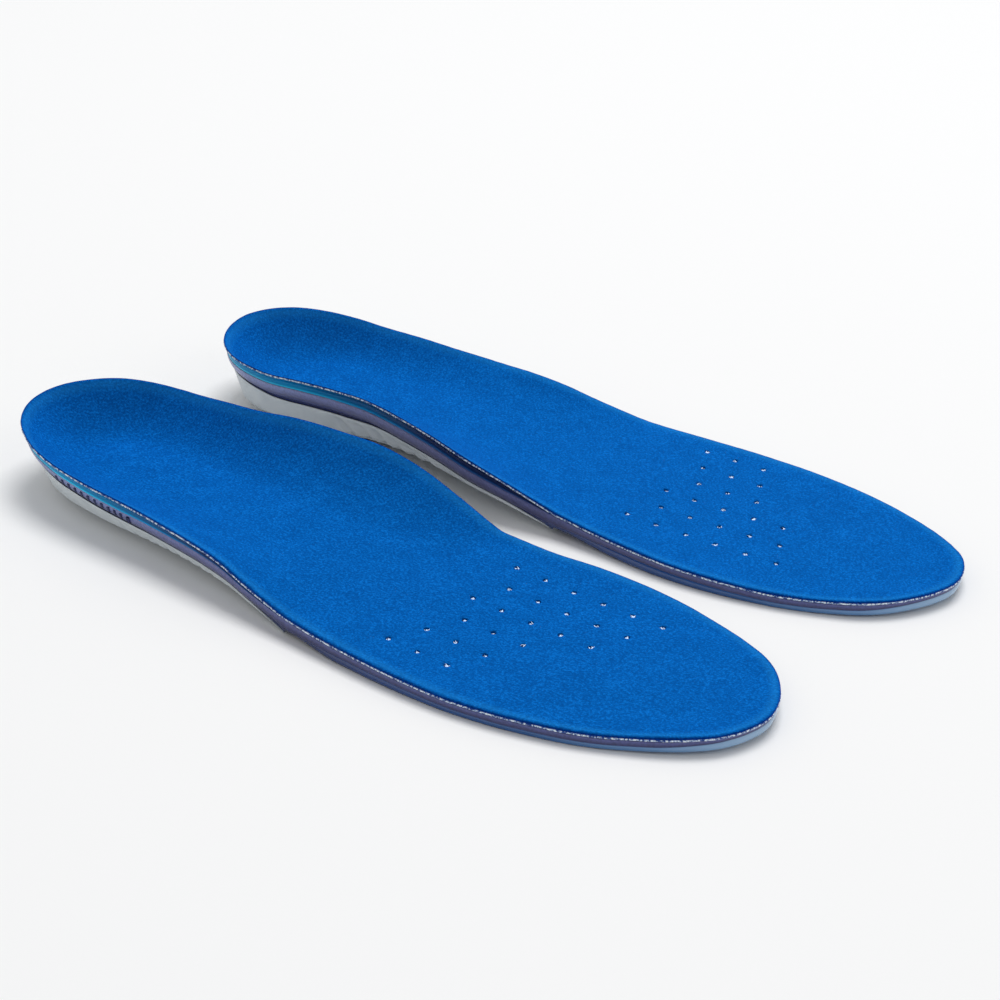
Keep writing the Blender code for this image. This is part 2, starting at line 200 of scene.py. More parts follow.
def foot_matrix(side):
    """Columns: the insole's x, y and z axes and its heel point, in world metres."""
    low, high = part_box(f"{side}_heel_pad")
    pad = Vector(((low.x + high.x) / 2, (low.y + high.y) / 2, 0))
    hinge = Vector((hinges[side]["pos_m"][0], hinges[side]["pos_m"][1], 0))
    forward = (hinge - pad).normalized()
    to_arch = Vector((0, 0, 1)).cross(forward) * (1 if side == "right" else -1)
    heel = pad - forward * PAD_CENTRE * MM
    return np.array([forward, to_arch, (0, 0, 1)]).T, np.array(heel)


FOOT = {side: foot_matrix(side) for side in SIDES}


def to_foot(points, side="right"):
    """Points in world metres, given in the insole's own millimetres."""
    axes, heel = FOOT[side]
    return (np.asarray(points, float) - heel) @ axes / MM


def to_world(points, side):
    """Points in the insole's own millimetres, given in world metres."""
    axes, heel = FOOT[side]
    return np.asarray(points, float) * MM @ axes.T + heel


hinge_point = to_foot([hinges["right"]["pos_m"]])[0]
hinge_axis = np.array(hinges["right"]["axis"]) @ FOOT["right"][0]
FLEX_X = hinge_point[0]
FLEX_TILT = math.atan2(abs(hinge_axis[0]), abs(hinge_axis[1]))
print("flex line at", round(FLEX_X, 1), "mm, slanted", round(math.degrees(FLEX_TILT), 1))

# %% [markdown]
# The frame's cover has upright edges, so an edge of its mesh with both ends on one upright
# line marks the rim.  A smooth closed curve through those points is the rim of the insole.
# Drawing the rim again by hand would give a second outline that could drift from the frame.

# %% The rim, read from the frame
UPRIGHT = 0.02                  # mm by which an upright edge may lean
SHORTEST_UPRIGHT = 0.3          # mm, the least height of an edge that marks the rim
CUT_REACH = 0.4                 # mm either side of the flex line that the frame's cut takes up


def node_points(node):
    """Points of one of the frame's nodes, in the insole's millimetres."""
    data = frame["nodes"][node].data
    flat = np.empty(len(data.vertices) * 3)
    data.vertices.foreach_get("co", flat)
    return to_foot(flat.reshape(-1, 3))


def rim_corners():
    """Rim points of the frame's cover, ordered round the insole."""
    across = np.array((math.sin(FLEX_TILT), math.cos(FLEX_TILT)))
    corners, cut_ends = {}, []
    for end in ("rear", "forefoot"):
        points = node_points(f"right_top_cover_{end}")
        at_cut = []
        for edge in frame["nodes"][f"right_top_cover_{end}"].data.edges:
            a, b = points[edge.vertices[0]], points[edge.vertices[1]]
            if np.hypot(*(a - b)[:2]) > UPRIGHT or abs(a[2] - b[2]) < SHORTEST_UPRIGHT:
                continue
            top = a if a[2] > b[2] else b
            away = (top[0] - FLEX_X) * across[1] - top[1] * across[0]
            if abs(away) < CUT_REACH:
                at_cut.append(top)
            else:
                corners[tuple(np.round(top[:2], 1))] = top
        at_cut.sort(key=lambda p: p[1])
        cut_ends.append((at_cut[0], at_cut[-1]))
    for outer_or_inner in (0, 1):
        corners[outer_or_inner] = (cut_ends[0][outer_or_inner]
                                   + cut_ends[1][outer_or_inner]) / 2
    ring = np.array(list(corners.values()))
    middle = ring[:, 0].mean()
    order = np.argsort(np.arctan2(ring[:, 1], ring[:, 0] - middle))
    return ring[order]


def closed_curve(points, steps):
    """Smooth closed curve through the points, steps points from each to the next."""
    fine = []
    n = len(points)
    for i in range(n):
        a, b, c, d = (points[(i + k) % n] for k in (-1, 0, 1, 2))
        chord = np.linalg.norm(c - b)
        leave = (c - a) / np.linalg.norm(c - a) * chord
        arrive = (d - b) / np.linalg.norm(d - b) * chord
        for t in np.arange(steps) / steps:
            fine.append((2 * t**3 - 3 * t**2 + 1) * b + (t**3 - 2 * t**2 + t) * leave
                        + (3 * t**2 - 2 * t**3) * c + (t**3 - t**2) * arrive)
    return np.array(fine)


corners = rim_corners()
rim_curve = closed_curve(corners, 24)
print("rim corners:", len(corners), "rim box:", np.round(np.ptp(rim_curve, axis=0), 1))

# %% [markdown]
# Every layer is drawn on the same spokes.  They run from a spine down the middle of the
# insole out to the rim: side by side along the foot, and fanned round the heel and the toe.
# A plain grid would leave steps along the slanting rim, and the rim is what the eye follows.

# %% Spokes from the spine to the rim
HEEL_CENTRE = 38.0
TOE_CENTRE = 245.0
FAN_RADIUS = 33.0               # rim radius from which the fans get their number of spokes
TILT_START, TILT_LENGTH = 62.0, 80.0    # where spokes start to slant, and over what length
SPOKE_STEP = 0.8     # mm between spokes at the rim


def tilt(x):
    """Slant of a spoke that starts at x on the spine."""
    return FLEX_TILT * np.clip((x - TILT_START) / TILT_LENGTH, 0, 1)


def spoke_list():
    """Spine place, spine index and direction of each spoke, once round from the arch side."""
    count = int((TOE_CENTRE - HEEL_CENTRE) / SPOKE_STEP)
    places = np.linspace(HEEL_CENTRE, TOE_CENTRE, count + 1)
    fan = int(math.pi * FAN_RADIUS / SPOKE_STEP)
    rows = [(places[k], k, math.pi / 2 - tilt(places[k])) for k in range(count, -1, -1)]
    rows += [(HEEL_CENTRE, 0, angle) for angle in
             np.linspace(math.pi / 2, 3 * math.pi / 2, fan + 1)[1:-1]]
    rows += [(places[k], k, 3 * math.pi / 2 - tilt(places[k])) for k in range(count + 1)]
    first, last = -math.pi / 2 - tilt(TOE_CENTRE), math.pi / 2 - tilt(TOE_CENTRE)
    rows += [(TOE_CENTRE, count, angle) for angle in np.linspace(first, last, fan + 1)[1:-1]]
    spine_x, index, angle = (np.array(column) for column in zip(*rows))
    return spine_x, index.astype(int), np.stack([np.cos(angle), np.sin(angle)], 1)


spine_x, spine_index, outward = spoke_list()
spine = np.stack([spine_x, np.zeros_like(spine_x)], 1)


def meet_rim(origin, direction):
    """Where a spoke meets the rim curve: (x, y, z)."""
    normal = np.array((-direction[1], direction[0]))
    offset = (rim_curve[:, :2] - origin) @ normal
    ahead = (rim_curve[:, :2] - origin) @ direction
    crossing = np.nonzero((offset > 0) != (np.roll(offset, -1) > 0))[0]
    best = max(crossing, key=lambda i: ahead[i])
    after = (best + 1) % len(rim_curve)
    share = offset[best] / (offset[best] - offset[after])
    return rim_curve[best] + share * (rim_curve[after] - rim_curve[best])


rim = np.array([meet_rim(o, d) for o, d in zip(spine, outward)])
reach = np.linalg.norm(rim[:, :2] - spine, axis=1)
arch_side = 0.5 + 0.5 * np.clip(outward[:, 1] / np.cos(tilt(spine_x)), -1, 1)
print("spokes:", len(rim), "longest:", round(reach.max(), 1), "mm")

# %% [markdown]
# The side wall shows the layers one under the other.  Rays sent in from outside, a tenth of a
# millimetre apart down each spoke's wall, tell which layer of the frame each one meets and how
# far in it lies.  That gives the depth of every band below the rim, and the lean of the wall.

# %% Scan the side wall of the frame
LAYERS = ("top_cover", "cover_backing", "upper_gel", "foam_midsole", "gel_base", "arch_cradle")
SCAN_STEP = 0.1
SCAN_OUT = 6.0                  # mm outside the rim where rays start
SCAN_EVERY = 4                  # spokes between scanned ones
WALL_STEP = 0.13                # mm that one step down the wall may go in; past an edge it's more
REACH_IN = 30.0                 # mm that a ray looks ahead


def layer_tree(kind):
    """Search tree over the frame's nodes of one layer, in the insole's millimetres."""
    points, faces = [], []
    for name, node in frame["nodes"].items():
        if name.startswith(f"right_{kind}"):
            start = len(points)
            points.extend(node_points(name).tolist())
            faces.extend([[start + v for v in face.vertices] for face in node.data.polygons])
    return BVHTree.FromPolygons(points, faces)


trees = {kind: layer_tree(kind) for kind in LAYERS}


def scan_wall(k):
    """Depth and inset of the top and low edge of each layer on one spoke."""
    inward = Vector((-outward[k][0], -outward[k][1], 0))
    start = Vector(rim[k]) - inward * SCAN_OUT
    seen = {}
    for depth in np.arange(SCAN_STEP / 2, rim[k][2], SCAN_STEP):
        origin = Vector((start.x, start.y, rim[k][2] - depth))
        hits = [(trees[kind].ray_cast(origin, inward, REACH_IN)[3], kind) for kind in LAYERS]
        hits = [(distance, kind) for distance, kind in hits if distance is not None]
        if not hits:
            continue
        distance, kind = min(hits)
        rows = seen.setdefault(kind, [])
        if not rows or distance - SCAN_OUT - rows[-1][1] < WALL_STEP:
            rows.append((depth, distance - SCAN_OUT))
    return {kind: (rows[0], rows[-1]) for kind, rows in seen.items()}


scanned = list(range(0, len(rim), SCAN_EVERY))
scanned = [k for k in scanned if abs(spine_x[k] - FLEX_X) > 1.0]
walls = {k: scan_wall(k) for k in scanned}
print("scanned spokes:", len(walls))


def edge_table(kind, edge, column, width=7.0):
    """One measure of one layer for every spoke, smoothed along the rim by about width mm."""
    known = [k for k in scanned if kind in walls[k]]
    values = np.array([walls[k][kind][edge][column] for k in known])
    loop = np.arange(-len(rim), 2 * len(rim))
    places = np.concatenate([np.array(known) + shift for shift in (-len(rim), 0, len(rim))])
    full = np.interp(loop, places, np.tile(values, 3))
    sigma = width / SPOKE_STEP / 2
    kernel = np.exp(-0.5 * (np.arange(-3 * int(sigma), 3 * int(sigma) + 1) / sigma) ** 2)
    smooth = np.convolve(full, kernel / kernel.sum(), mode="same")
    return smooth[len(rim):2 * len(rim)]


bands = {kind: {"top": edge_table(kind, 0, 0) - SCAN_STEP / 2,
                "low": edge_table(kind, 1, 0) + SCAN_STEP / 2,
                "top_in": edge_table(kind, 0, 1), "low_in": edge_table(kind, 1, 1)}
         for kind in LAYERS}
for kind in LAYERS:
    print(kind, "band", np.round(bands[kind]["top"].mean(), 2), "to",
          np.round(bands[kind]["low"].mean(), 2), "mm below the rim")

# %% [markdown]
# Inside the rim, each face of each layer is a bowl: flat along the middle, then rising to the
# rim like a parabola.  The frame gives the heights along the spine, again with rays.  Its own
# faces are large and flat, and would show as facets under a low light.

# %% Bowl surfaces
FLAT_MIDDLE = ((62, 0.35), (97, 0.15), (132, 0.15), (182, 0.5))
HEIGHT_STEP = 3.0               # mm between the heights read along the spine
CUT_CLEAR = 2                   # mm either side of the flex line where no height is read
OFF_SPINE = 0.01                # mm, so that a ray doesn't run along an edge between two faces
ABOVE, BELOW = 60, -20          # mm, heights from which the rays start


def by_place(x, table):
    """Value at x millimetres along the insole, from (x, value) pairs."""
    places, values = zip(*table)
    return np.interp(x, places, values)


def bowl(r, x):
    """Share of the rise from the spine to the rim at radius share r."""
    flat = by_place(x, FLAT_MIDDLE)
    return (np.maximum(r - flat, 0) / (1 - flat)) ** 2


def spine_heights(kind, upper):
    """Height of one face of a layer along the spine, for every spoke."""
    places = np.arange(HEEL_CENTRE, TOE_CENTRE + 1, HEIGHT_STEP)
    found_x, found_z = [], []
    for x in places:
        if abs(x - FLEX_X) < CUT_CLEAR:
            continue
        start = Vector((x, OFF_SPINE, ABOVE if upper else BELOW))
        ray = Vector((0, 0, -1 if upper else 1))
        point = trees[kind].ray_cast(start, ray, 100.0)[0]
        if point is not None:
            found_x.append(x)
            found_z.append(point.z)
    smooth = np.convolve(np.pad(found_z, 2, mode="edge"), np.ones(5) / 5, mode="valid")
    return np.interp(spine_x, found_x, smooth)


centre = {kind: (spine_heights(kind, True), spine_heights(kind, False)) for kind in LAYERS}


def face_row(r, depth, inset, middle_z):
    """Points at radius share r of the face whose edge lies at depth and inset on the wall."""
    edge_r = 1 - inset / reach
    share = r * edge_r
    rise = (rim[:, 2] - depth - middle_z) / bowl(edge_r, rim[:, 0])
    plan = spine + outward * (reach * share)[:, None]
    return np.column_stack([plan, middle_z + rise * bowl(share, rim[:, 0])])


def wall_row(depth, inset):
    """Points on the side wall at a depth below the rim and an inset along the spoke."""
    plan = spine + outward * (reach - inset)[:, None]
    return np.column_stack([plan, rim[:, 2] - depth])


for kind in LAYERS:
    print(kind, round(float((centre[kind][0] - centre[kind][1]).mean()), 2), "mm thick inside")

# %% [markdown]
# Objects are made from points in millimetres.  Each point also keeps its place on the insole as
# an attribute.  Blender's own object coordinates would do at rest, but a pattern drawn from an
# attribute stays with the surface when the insole bends.

# %% Objects from points


def mark_foot(piece, side):
    """Store each point's place on the insole, in mm, for the shaders."""
    mesh = piece.data
    flat = np.empty(len(mesh.vertices) * 3, np.float32)
    mesh.vertices.foreach_get("co", flat)
    foot = mesh.attributes.get("foot_mm") or mesh.attributes.new("foot_mm", "FLOAT_VECTOR", "POINT")
    foot.data.foreach_set("vector", to_foot(flat.reshape(-1, 3), side).astype(np.float32).ravel())


def make_object(name, side, points, faces):
    """Mesh object from points in the insole's millimetres; the left one is a mirror image."""
    mesh = bpy.data.meshes.new(name)
    mesh.from_pydata(to_world(points, side).tolist(), [], faces)
    if side == "left":
        mesh.flip_normals()
    mesh.shade_smooth()
    made = bpy.data.objects.new(name, mesh)
    scene.collection.objects.link(made)
    mark_foot(made, side)
    return made


for side in SIDES:
    print(side, "heel is at", np.round(to_world([(0, 0, 0)], side)[0], 3).tolist(), "m")

# %% [markdown]
# A layer's skin is a stack of rows that starts on the spine, runs out over the upper face,
# down the wall, and back along the lower face to the spine.  A layer that ends in front of
# the arch uses only the spokes behind its end, and is closed there by a strip.  Thickening one
# surface with a modifier would be quicker, but the layers' walls lean and bulge.

# %% Skin builder
CRADLE_END = 154.0


def build_piece(name, side, rows, wall=(0, 1), spokes=None, end_rows=0):
    """Closed mesh object from rows of points, one point a spoke in each row.

    wall names the rows where the side wall starts and ends; the shaders get the share down it.
    """
    rows = np.array(rows)
    whole = spokes is None
    spokes = np.arange(rows.shape[1]) if whole else spokes
    points, index = [], np.empty((len(rows), len(spokes)), int)
    for j, row in enumerate(rows):
        on_spine = {}
        for i, k in enumerate(spokes):
            if j in (0, len(rows) - 1):
                if spine_index[k] not in on_spine:
                    on_spine[spine_index[k]] = len(points)
                    points.append(row[k])
                index[j, i] = on_spine[spine_index[k]]
            else:
                index[j, i] = len(points)
                points.append(row[k])
    faces = []
    pairs = [(i, (i + 1) % len(spokes)) for i in range(len(spokes) if whole else len(spokes) - 1)]
    for j in range(len(rows) - 1):
        for a, b in pairs:
            corner = [index[j, a], index[j + 1, a], index[j + 1, b], index[j, b]]
            face = list(dict.fromkeys(corner))
            if len(face) > 2:
                faces.append(face)
    if not whole:
        last = len(rows) - 1
        for i in (0, len(spokes) - 1):
            for j in range(end_rows):
                corner = [index[j, i], index[j + 1, i], index[last - j - 1, i], index[last - j, i]]
                faces.append(corner if i else corner[::-1])
            rest = [index[j, i] for j in range(end_rows, last - end_rows + 1)]
            faces.append(rest if i else rest[::-1])
    made = make_object(name, side, np.array(points), faces)
    share = made.data.attributes.new("wall_share", "FLOAT", "POINT")
    values = np.zeros(len(points), np.float32)
    for j in range(len(rows)):
        values[index[j]] = np.clip((j - wall[0]) / (wall[1] - wall[0]), 0, 1)
    share.data.foreach_set("value", values)
    return made


RADII = np.linspace(0, 1, 58)
FEW_RADII = np.linspace(0, 1, 9)
short = np.nonzero(spine_x <= CRADLE_END)[0]
print("rows over the cover:", len(RADII), "spokes of a short layer:", len(short))

# %% [markdown]
# The cover is a brushed knitted velour: nylon loops on a knit ground, cut open and brushed up
# to a soft pile under a millimetre tall.  Pile is matt from above and bright at a low angle, so
# the shader is rough and gets its glow from sheen.  The pile lies in small random tufts, and
# the knit's ribs show faintly through it where it was pressed.  Real hair would look much the
# same at this size and cost far more, so the tufts are a pattern with a bump.

# %% Velour
NAP = 0.75                      # mm, size of the tufts of the pile
RIB_SPACING = 1.05              # mm between the ribs of the knit
RIB_TURN = math.radians(35)     # the cloth is laid at a slant to the insole
WEAR_PATCH = 9.0                # mm, size of the patches where the pile leans another way
TUFT_HEIGHT = 0.00022           # metres that the bump stands for
VELOUR_DARK = "#00529E"
VELOUR_MID = "#005EB2"
VELOUR_LIGHT = "#0A78D6"
# The rim colour is a painted sheen just inside the rim.
VELOUR_RIM_SHEEN = "#2799E7"
VELOUR_SHEEN = "#0074FF"


def velour():
    """Deep blue pile, dark at the cut itself, with painted sheen just inside the rim and painted shade
    face-on.
    """
    material, tree, shader = blank_material("brushed_velour")
    place = add(tree, "ShaderNodeAttribute", attribute_name="foot_mm").outputs["Vector"]
    outwards = add(tree, "ShaderNodeAttribute", attribute_name="wall_share").outputs["Fac"]
    tufts = add(tree, "ShaderNodeTexNoise", {"Vector": place, "Scale": 1 / NAP, "Detail": 4.0,
                                             "Roughness": 0.75}).outputs["Fac"]
    patches = add(tree, "ShaderNodeTexNoise", {"Vector": place, "Scale": 1 / WEAR_PATCH,
                                               "Detail": 2.0, "Roughness": 0.5}).outputs["Fac"]
    turned = add(tree, "ShaderNodeMapping", {"Vector": place, "Rotation": (0, 0, RIB_TURN)})
    ribs = add(tree, "ShaderNodeTexWave", {"Vector": turned.outputs["Vector"],
                                           "Scale": 2 * math.pi / RIB_SPACING / 20,
                                           "Distortion": 1.2, "Detail": 1.0,
                                           "Detail Scale": 1.5}).outputs["Fac"]
    faint = add(tree, "ShaderNodeMath", {0: patches, 1: 0.1}, operation="MULTIPLY").outputs[0]
    tone = add(tree, "ShaderNodeMath", {0: tufts, 1: 0.9, 2: faint},
               operation="MULTIPLY_ADD").outputs[0]
    colour = add(tree, "ShaderNodeValToRGB", {"Fac": tone},
                 stops=[(0.40, VELOUR_DARK), (0.50, VELOUR_MID), (0.62, VELOUR_LIGHT)])
    # Painted sheen: a paler line just inside the rim, where the pile turns over the edge.
    painted_sheen_line = add(tree, "ShaderNodeValToRGB", {"Fac": outwards},
                   stops=[(0.90, "#000000"), (0.965, "#909090"), (0.985, "#404040"),
                          (0.998, "#000000")])
    colour = add(tree, "ShaderNodeMix", {0: painted_sheen_line.outputs["Color"],
                                         6: colour.outputs["Color"], 7: linear(VELOUR_RIM_SHEEN)},
                 data_type="RGBA")
    cut_pile = add(tree, "ShaderNodeValToRGB", {"Fac": outwards},
                   stops=[(0.985, "#FFFFFF"), (1.0, "#8098C8")])
    colour = add(tree, "ShaderNodeMix", {0: 1.0, 6: colour.outputs[2],
                                         7: cut_pile.outputs["Color"]},
                 data_type="RGBA", blend_type="MULTIPLY")
    # Painted shade: the pile is darkened where it faces the camera, standing in for the sheen it lacks
    # there.
    facing = add(tree, "ShaderNodeLayerWeight", {"Blend": 0.5}).outputs["Facing"]
    depth = add(tree, "ShaderNodeValToRGB", {"Fac": facing},
                stops=[(0.1, "#D4D4D4"), (0.55, "#FFFFFF")])
    colour = add(tree, "ShaderNodeMix", {0: 1.0, 6: colour.outputs[2],
                                         7: depth.outputs["Color"]},
                 data_type="RGBA", blend_type="MULTIPLY")
    tree.links.new(colour.outputs[2], shader.inputs["Base Color"])
    height = add(tree, "ShaderNodeMath", {0: ribs, 1: 0.22, 2: tufts},
                 operation="MULTIPLY_ADD").outputs[0]
    bumped = add(tree, "ShaderNodeBump", {"Height": height, "Distance": TUFT_HEIGHT,
                                          "Strength": 1.0})
    tree.links.new(bumped.outputs["Normal"], shader.inputs["Normal"])
    shader.inputs["Roughness"].default_value = 0.95
    shader.inputs["Specular IOR Level"].default_value = 0.03
    shader.inputs["Sheen Weight"].default_value = 0.3
    shader.inputs["Sheen Roughness"].default_value = 0.45
    shader.inputs["Sheen Tint"].default_value = linear(VELOUR_SHEEN)
    return material


velour_material = velour()
print("velour: nap", NAP, "mm, ribs", RIB_SPACING, "mm")

# %% [markdown]
# The ball of the foot is perforated so that the insole breathes.  The needle leaves a hole
# under two millimetres wide, with a dimple round it.  The rows of holes run along the insole,
# with the longest one nearest the arch, and a row's place is only a step and a count.

# %% Perforations
HOLE_DIAMETER = 1.9
HOLE_STEP = 11.02               # mm from hole to hole along a row
HOLE_DRIFT = 0.15               # mm that each hole of a row lies further out than the last
ROW_STEP = 12.0                 # mm from row to row
ROW_DRIFT = 0.45                # mm that each row lies nearer the toe than the last
FIRST_HOLE = (179.8, 26.8)      # mm along the insole and towards the arch
HOLE_ROWS = ((0.0, 6), (0.5, 5), (0.0, 5), (0.5, 3), (0.0, 3), (-0.5, 3))
LEFT_SHIFT = -5.0               # mm that the left insole's holes lie further out


def hole_places(side):
    """Middle of each hole.  HOLE_ROWS gives each row's start, in steps, and its count."""
    shift = LEFT_SHIFT if side == "left" else 0.0
    return [(FIRST_HOLE[0] + (start + i) * HOLE_STEP + ROW_DRIFT * row,
             FIRST_HOLE[1] + shift - HOLE_DRIFT * (start + i) - row * ROW_STEP)
            for row, (start, count) in enumerate(HOLE_ROWS) for i in range(count)]


print("holes in each insole:", len(hole_places("right")))

# %% [markdown]
# The cover's upper face follows the bowl, rolls over at the cut edge, and is a little uneven,
# as stretched cloth is.  That unevenness has to be in the shape, because it bends the light
# over centimetres, where a bump only works over a millimetre or so.

# %% Rows of the top cover
EDGE_ROLL = 0.7                 # mm over which the pile rolls down to the cut edge
ROLL_DROP = 0.35                # mm that the upper face drops in that roll
CUT_DEPTH = 0.5                 # depth to which the cut edge is upright
COVER_LOW = 0.72                # depth of the cover's underside at its edge
SWELL, SWELL_HEIGHT = 22.0, 0.10        # mm, size and height of the broad unevenness
RIPPLE, RIPPLE_HEIGHT = 4.0, 0.03       # mm, size and height of the fine unevenness
DIMPLE_DEPTH = 0.35
DIMPLE_RADIUS = 1.3


def smooth_noise(points, size, seed):
    """Cheap smooth noise from a few waves of random direction, about -1 to 1."""
    chance = np.random.default_rng(seed)
    total = np.zeros(len(points))
    for _ in range(9):
        angle, phase = chance.uniform(0, 2 * math.pi, 2)
        wave = 2 * math.pi / (size * chance.uniform(0.7, 1.6))
        total += np.sin((points[:, 0] * math.cos(angle) + points[:, 1] * math.sin(angle)) * wave
                        + phase)
    return total / 4.5


def cover_rows(side):
    """Upper face, cut edge and lower face of the cover."""
    rows = []
    top_z, low_z = centre["top_cover"]
    holes = np.array(hole_places(side))
    for r in RADII:
        row = face_row(r, 0.0, 0.0, top_z)
        in_from_rim = reach * (1 - r)
        roll = np.clip(1 - in_from_rim / EDGE_ROLL, 0, 1)
        row[:, 2] -= ROLL_DROP * roll**2
        row[:, 2] += SWELL_HEIGHT * smooth_noise(row, SWELL, 3 if side == "left" else 5)
        row[:, 2] += RIPPLE_HEIGHT * smooth_noise(row, RIPPLE, 7 if side == "left" else 9)
        near = np.min(np.hypot(row[:, None, 0] - holes[:, 0], row[:, None, 1] - holes[:, 1]), 1)
        row[:, 2] -= DIMPLE_DEPTH * np.exp(-(near / DIMPLE_RADIUS) ** 2)
        rows.append(row)
    rows.append(wall_row(CUT_DEPTH, 0.0))
    rows.append(wall_row(COVER_LOW, 0.08))
    rows += [face_row(r, COVER_LOW, 0.12, low_z) for r in FEW_RADII[::-1]]
    return rows


print("cover edge:", COVER_LOW, "mm deep, rolled over", EDGE_ROLL, "mm")

# %% [markdown]
# The holes are cut right through the cover with cylinders, because a dark dot painted on it
# would have no wall to catch the light.  A cut makes new points that have no place on the
# insole yet, so each one's place is stored again afterwards.

# %% Cut the perforations
HOLE_CORNERS = 14
PUNCH_LOW, PUNCH_HIGH = 4.0, 12.0       # mm above the floor


def cut_with(piece, cutter, side):
    """Cut one closed piece out of another, and drop the cutter.

    The cut loses the wall shares, so every point takes that of the nearest old point.
    """
    old = piece.data.attributes["wall_share"].data
    nearest = KDTree(len(piece.data.vertices))
    for vert in piece.data.vertices:
        nearest.insert(vert.co, vert.index)
    nearest.balance()
    shares = [item.value for item in old]
    cut = piece.modifiers.new("cut", "BOOLEAN")
    cut.object = cutter
    cut.operation = "DIFFERENCE"
    cut.solver = "EXACT"
    with bpy.context.temp_override(object=piece, active_object=piece):
        bpy.context.view_layer.objects.active = piece
        bpy.ops.object.modifier_apply(modifier=cut.name)
    bpy.data.objects.remove(cutter, do_unlink=True)
    mark_foot(piece, side)
    attributes = piece.data.attributes
    share = attributes.get("wall_share") or attributes.new("wall_share", "FLOAT", "POINT")
    share.data.foreach_set("value", [shares[nearest.find(vert.co)[1]]
                                     for vert in piece.data.vertices])


def punch(side):
    """Cylinders through all the perforations."""
    n = HOLE_CORNERS
    radius = HOLE_DIAMETER / 2
    turns = np.linspace(0, 2 * math.pi, n, endpoint=False)
    points, faces = [], []
    for x, y in hole_places(side):
        start = len(points)
        for z in (PUNCH_LOW, PUNCH_HIGH):
            points += [(x + radius * math.cos(a), y + radius * math.sin(a), z) for a in turns]
        faces += [[start + i, start + (i + 1) % n, start + n + (i + 1) % n, start + n + i]
                  for i in range(n)]
        faces += [[start + i for i in range(n)][::-1], [start + n + i for i in range(n)]]
    return make_object("punch", side, np.array(points), faces)


full_length = {}                # the pieces that run the whole length, by side and kind
for side in SIDES:
    cover = build_piece(f"{side}_velour_cover", side, cover_rows(side), (0, len(RADII) - 1))
    cover.data.materials.append(velour_material)
    cut_with(cover, punch(side), side)
    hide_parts(f"{side}_top_cover_rear", f"{side}_top_cover_forefoot")
    full_length[side, "cover"] = cover
    print(cover.name, len(cover.data.vertices), "points")

# %% [markdown]
# Under the pile lies the backing, a white polyester knit that frays where the die cut it.  Its
# edge is not a clean line but a row of small bright loops.  So the wall is beaded and a little
# ragged in shape, and the gaps between the loops are the blue of the pile in colour.

# %% Knit backing
LOOP_SIZE = 0.9                 # mm, drawn coarser than the real knit so that it shows
LOOP_HEIGHT = 0.0003            # metres that the bump stands for
BACKING_TOP, BACKING_LOW = 0.76, 1.28
BACKING_INSET = 0.2
BEAD_STAND_OUT = 0.12
FRAY = 0.05                     # mm that the frayed edge wanders up and down
RAGGED_SEED = {"right": 11, "left": 12}


def knit_backing():
    """White loops with dark blue between them; rough, with a little sheen from loose ends."""
    material, tree, shader = blank_material("white_knit_backing")
    place = add(tree, "ShaderNodeAttribute", attribute_name="foot_mm").outputs["Vector"]
    loops = add(tree, "ShaderNodeTexNoise", {"Vector": place, "Scale": 1 / LOOP_SIZE,
                                             "Detail": 2.0, "Roughness": 0.7}).outputs["Fac"]
    colour = add(tree, "ShaderNodeValToRGB", {"Fac": loops},
                 stops=[(0.42, "#123E8C"), (0.50, "#9DB6DA"), (0.57, "#E8F4FF")])
    bumped = add(tree, "ShaderNodeBump", {"Height": loops, "Distance": LOOP_HEIGHT,
                                          "Strength": 1.0})
    tree.links.new(colour.outputs["Color"], shader.inputs["Base Color"])
    tree.links.new(bumped.outputs["Normal"], shader.inputs["Normal"])
    shader.inputs["Roughness"].default_value = 0.85
    shader.inputs["Sheen Weight"].default_value = 0.4
    return material


def backing_rows(side):
    """Faces of the backing, with a beaded wall between them."""
    chance = np.random.default_rng(RAGGED_SEED[side])
    ragged = np.convolve(chance.normal(0, 1, len(rim)), [0.25, 0.5, 0.25], mode="same")
    top_z, low_z = centre["cover_backing"]
    rows = [face_row(r, BACKING_TOP, BACKING_INSET, top_z) for r in FEW_RADII]
    for share in (0.0, 0.3, 0.7, 1.0):
        round_out = BEAD_STAND_OUT * math.sin(math.pi * share)
        row_depth = BACKING_TOP + (BACKING_LOW - BACKING_TOP) * share
        rows.append(wall_row(row_depth + FRAY * ragged, -round_out * (1 + 0.6 * ragged)))
    rows += [face_row(r, BACKING_LOW, BACKING_INSET, low_z) for r in FEW_RADII[::-1]]
    return rows


knit_material = knit_backing()
for side in SIDES:
    backing = build_piece(f"{side}_knit_backing", side, backing_rows(side))
    backing.data.materials.append(knit_material)
    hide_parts(f"{side}_cover_backing_rear", f"{side}_cover_backing_forefoot")
    full_length[side, "backing"] = backing
    print(backing.name, len(backing.data.vertices), "points")

# %% [markdown]
# The layers below are solid bands: gel, foam, gel.  Their walls bulge out where the material is
# squeezed between its neighbours, or are drawn in between them.  One helper makes the rows of
# any of these layers from the heights and insets of its two edges, so the bands stay stacked.

# %% Rows of a band
GEL_GAP = 0.06                  # mm left between one visible layer and the next
WALL_ROWS = 12
UNDER_EDGE = 0.1                # mm that a face starts further in than the wall


def band_rows(kind, top, low, top_in, low_in, bulge):
    """Rows of a layer whose wall bulges out (or in, when negative) between its two edges."""
    top_z, low_z = centre[kind]
    rows = [face_row(r, top, top_in + UNDER_EDGE, top_z) for r in FEW_RADII]
    for share in np.linspace(0, 1, WALL_ROWS):
        depth = top + (low - top) * share
        inset = top_in + (low_in - top_in) * share - bulge * 4 * share * (1 - share)
        rows.append(wall_row(depth, inset))
    rows += [face_row(r, low, low_in + UNDER_EDGE, low_z) for r in FEW_RADII[::-1]]
    return rows


def fade(length=18.0):
    """1 along the insole, falling to 0 where a short layer ends."""
    return np.clip((CRADLE_END - spine_x) / length, 0, 1) ** 0.6


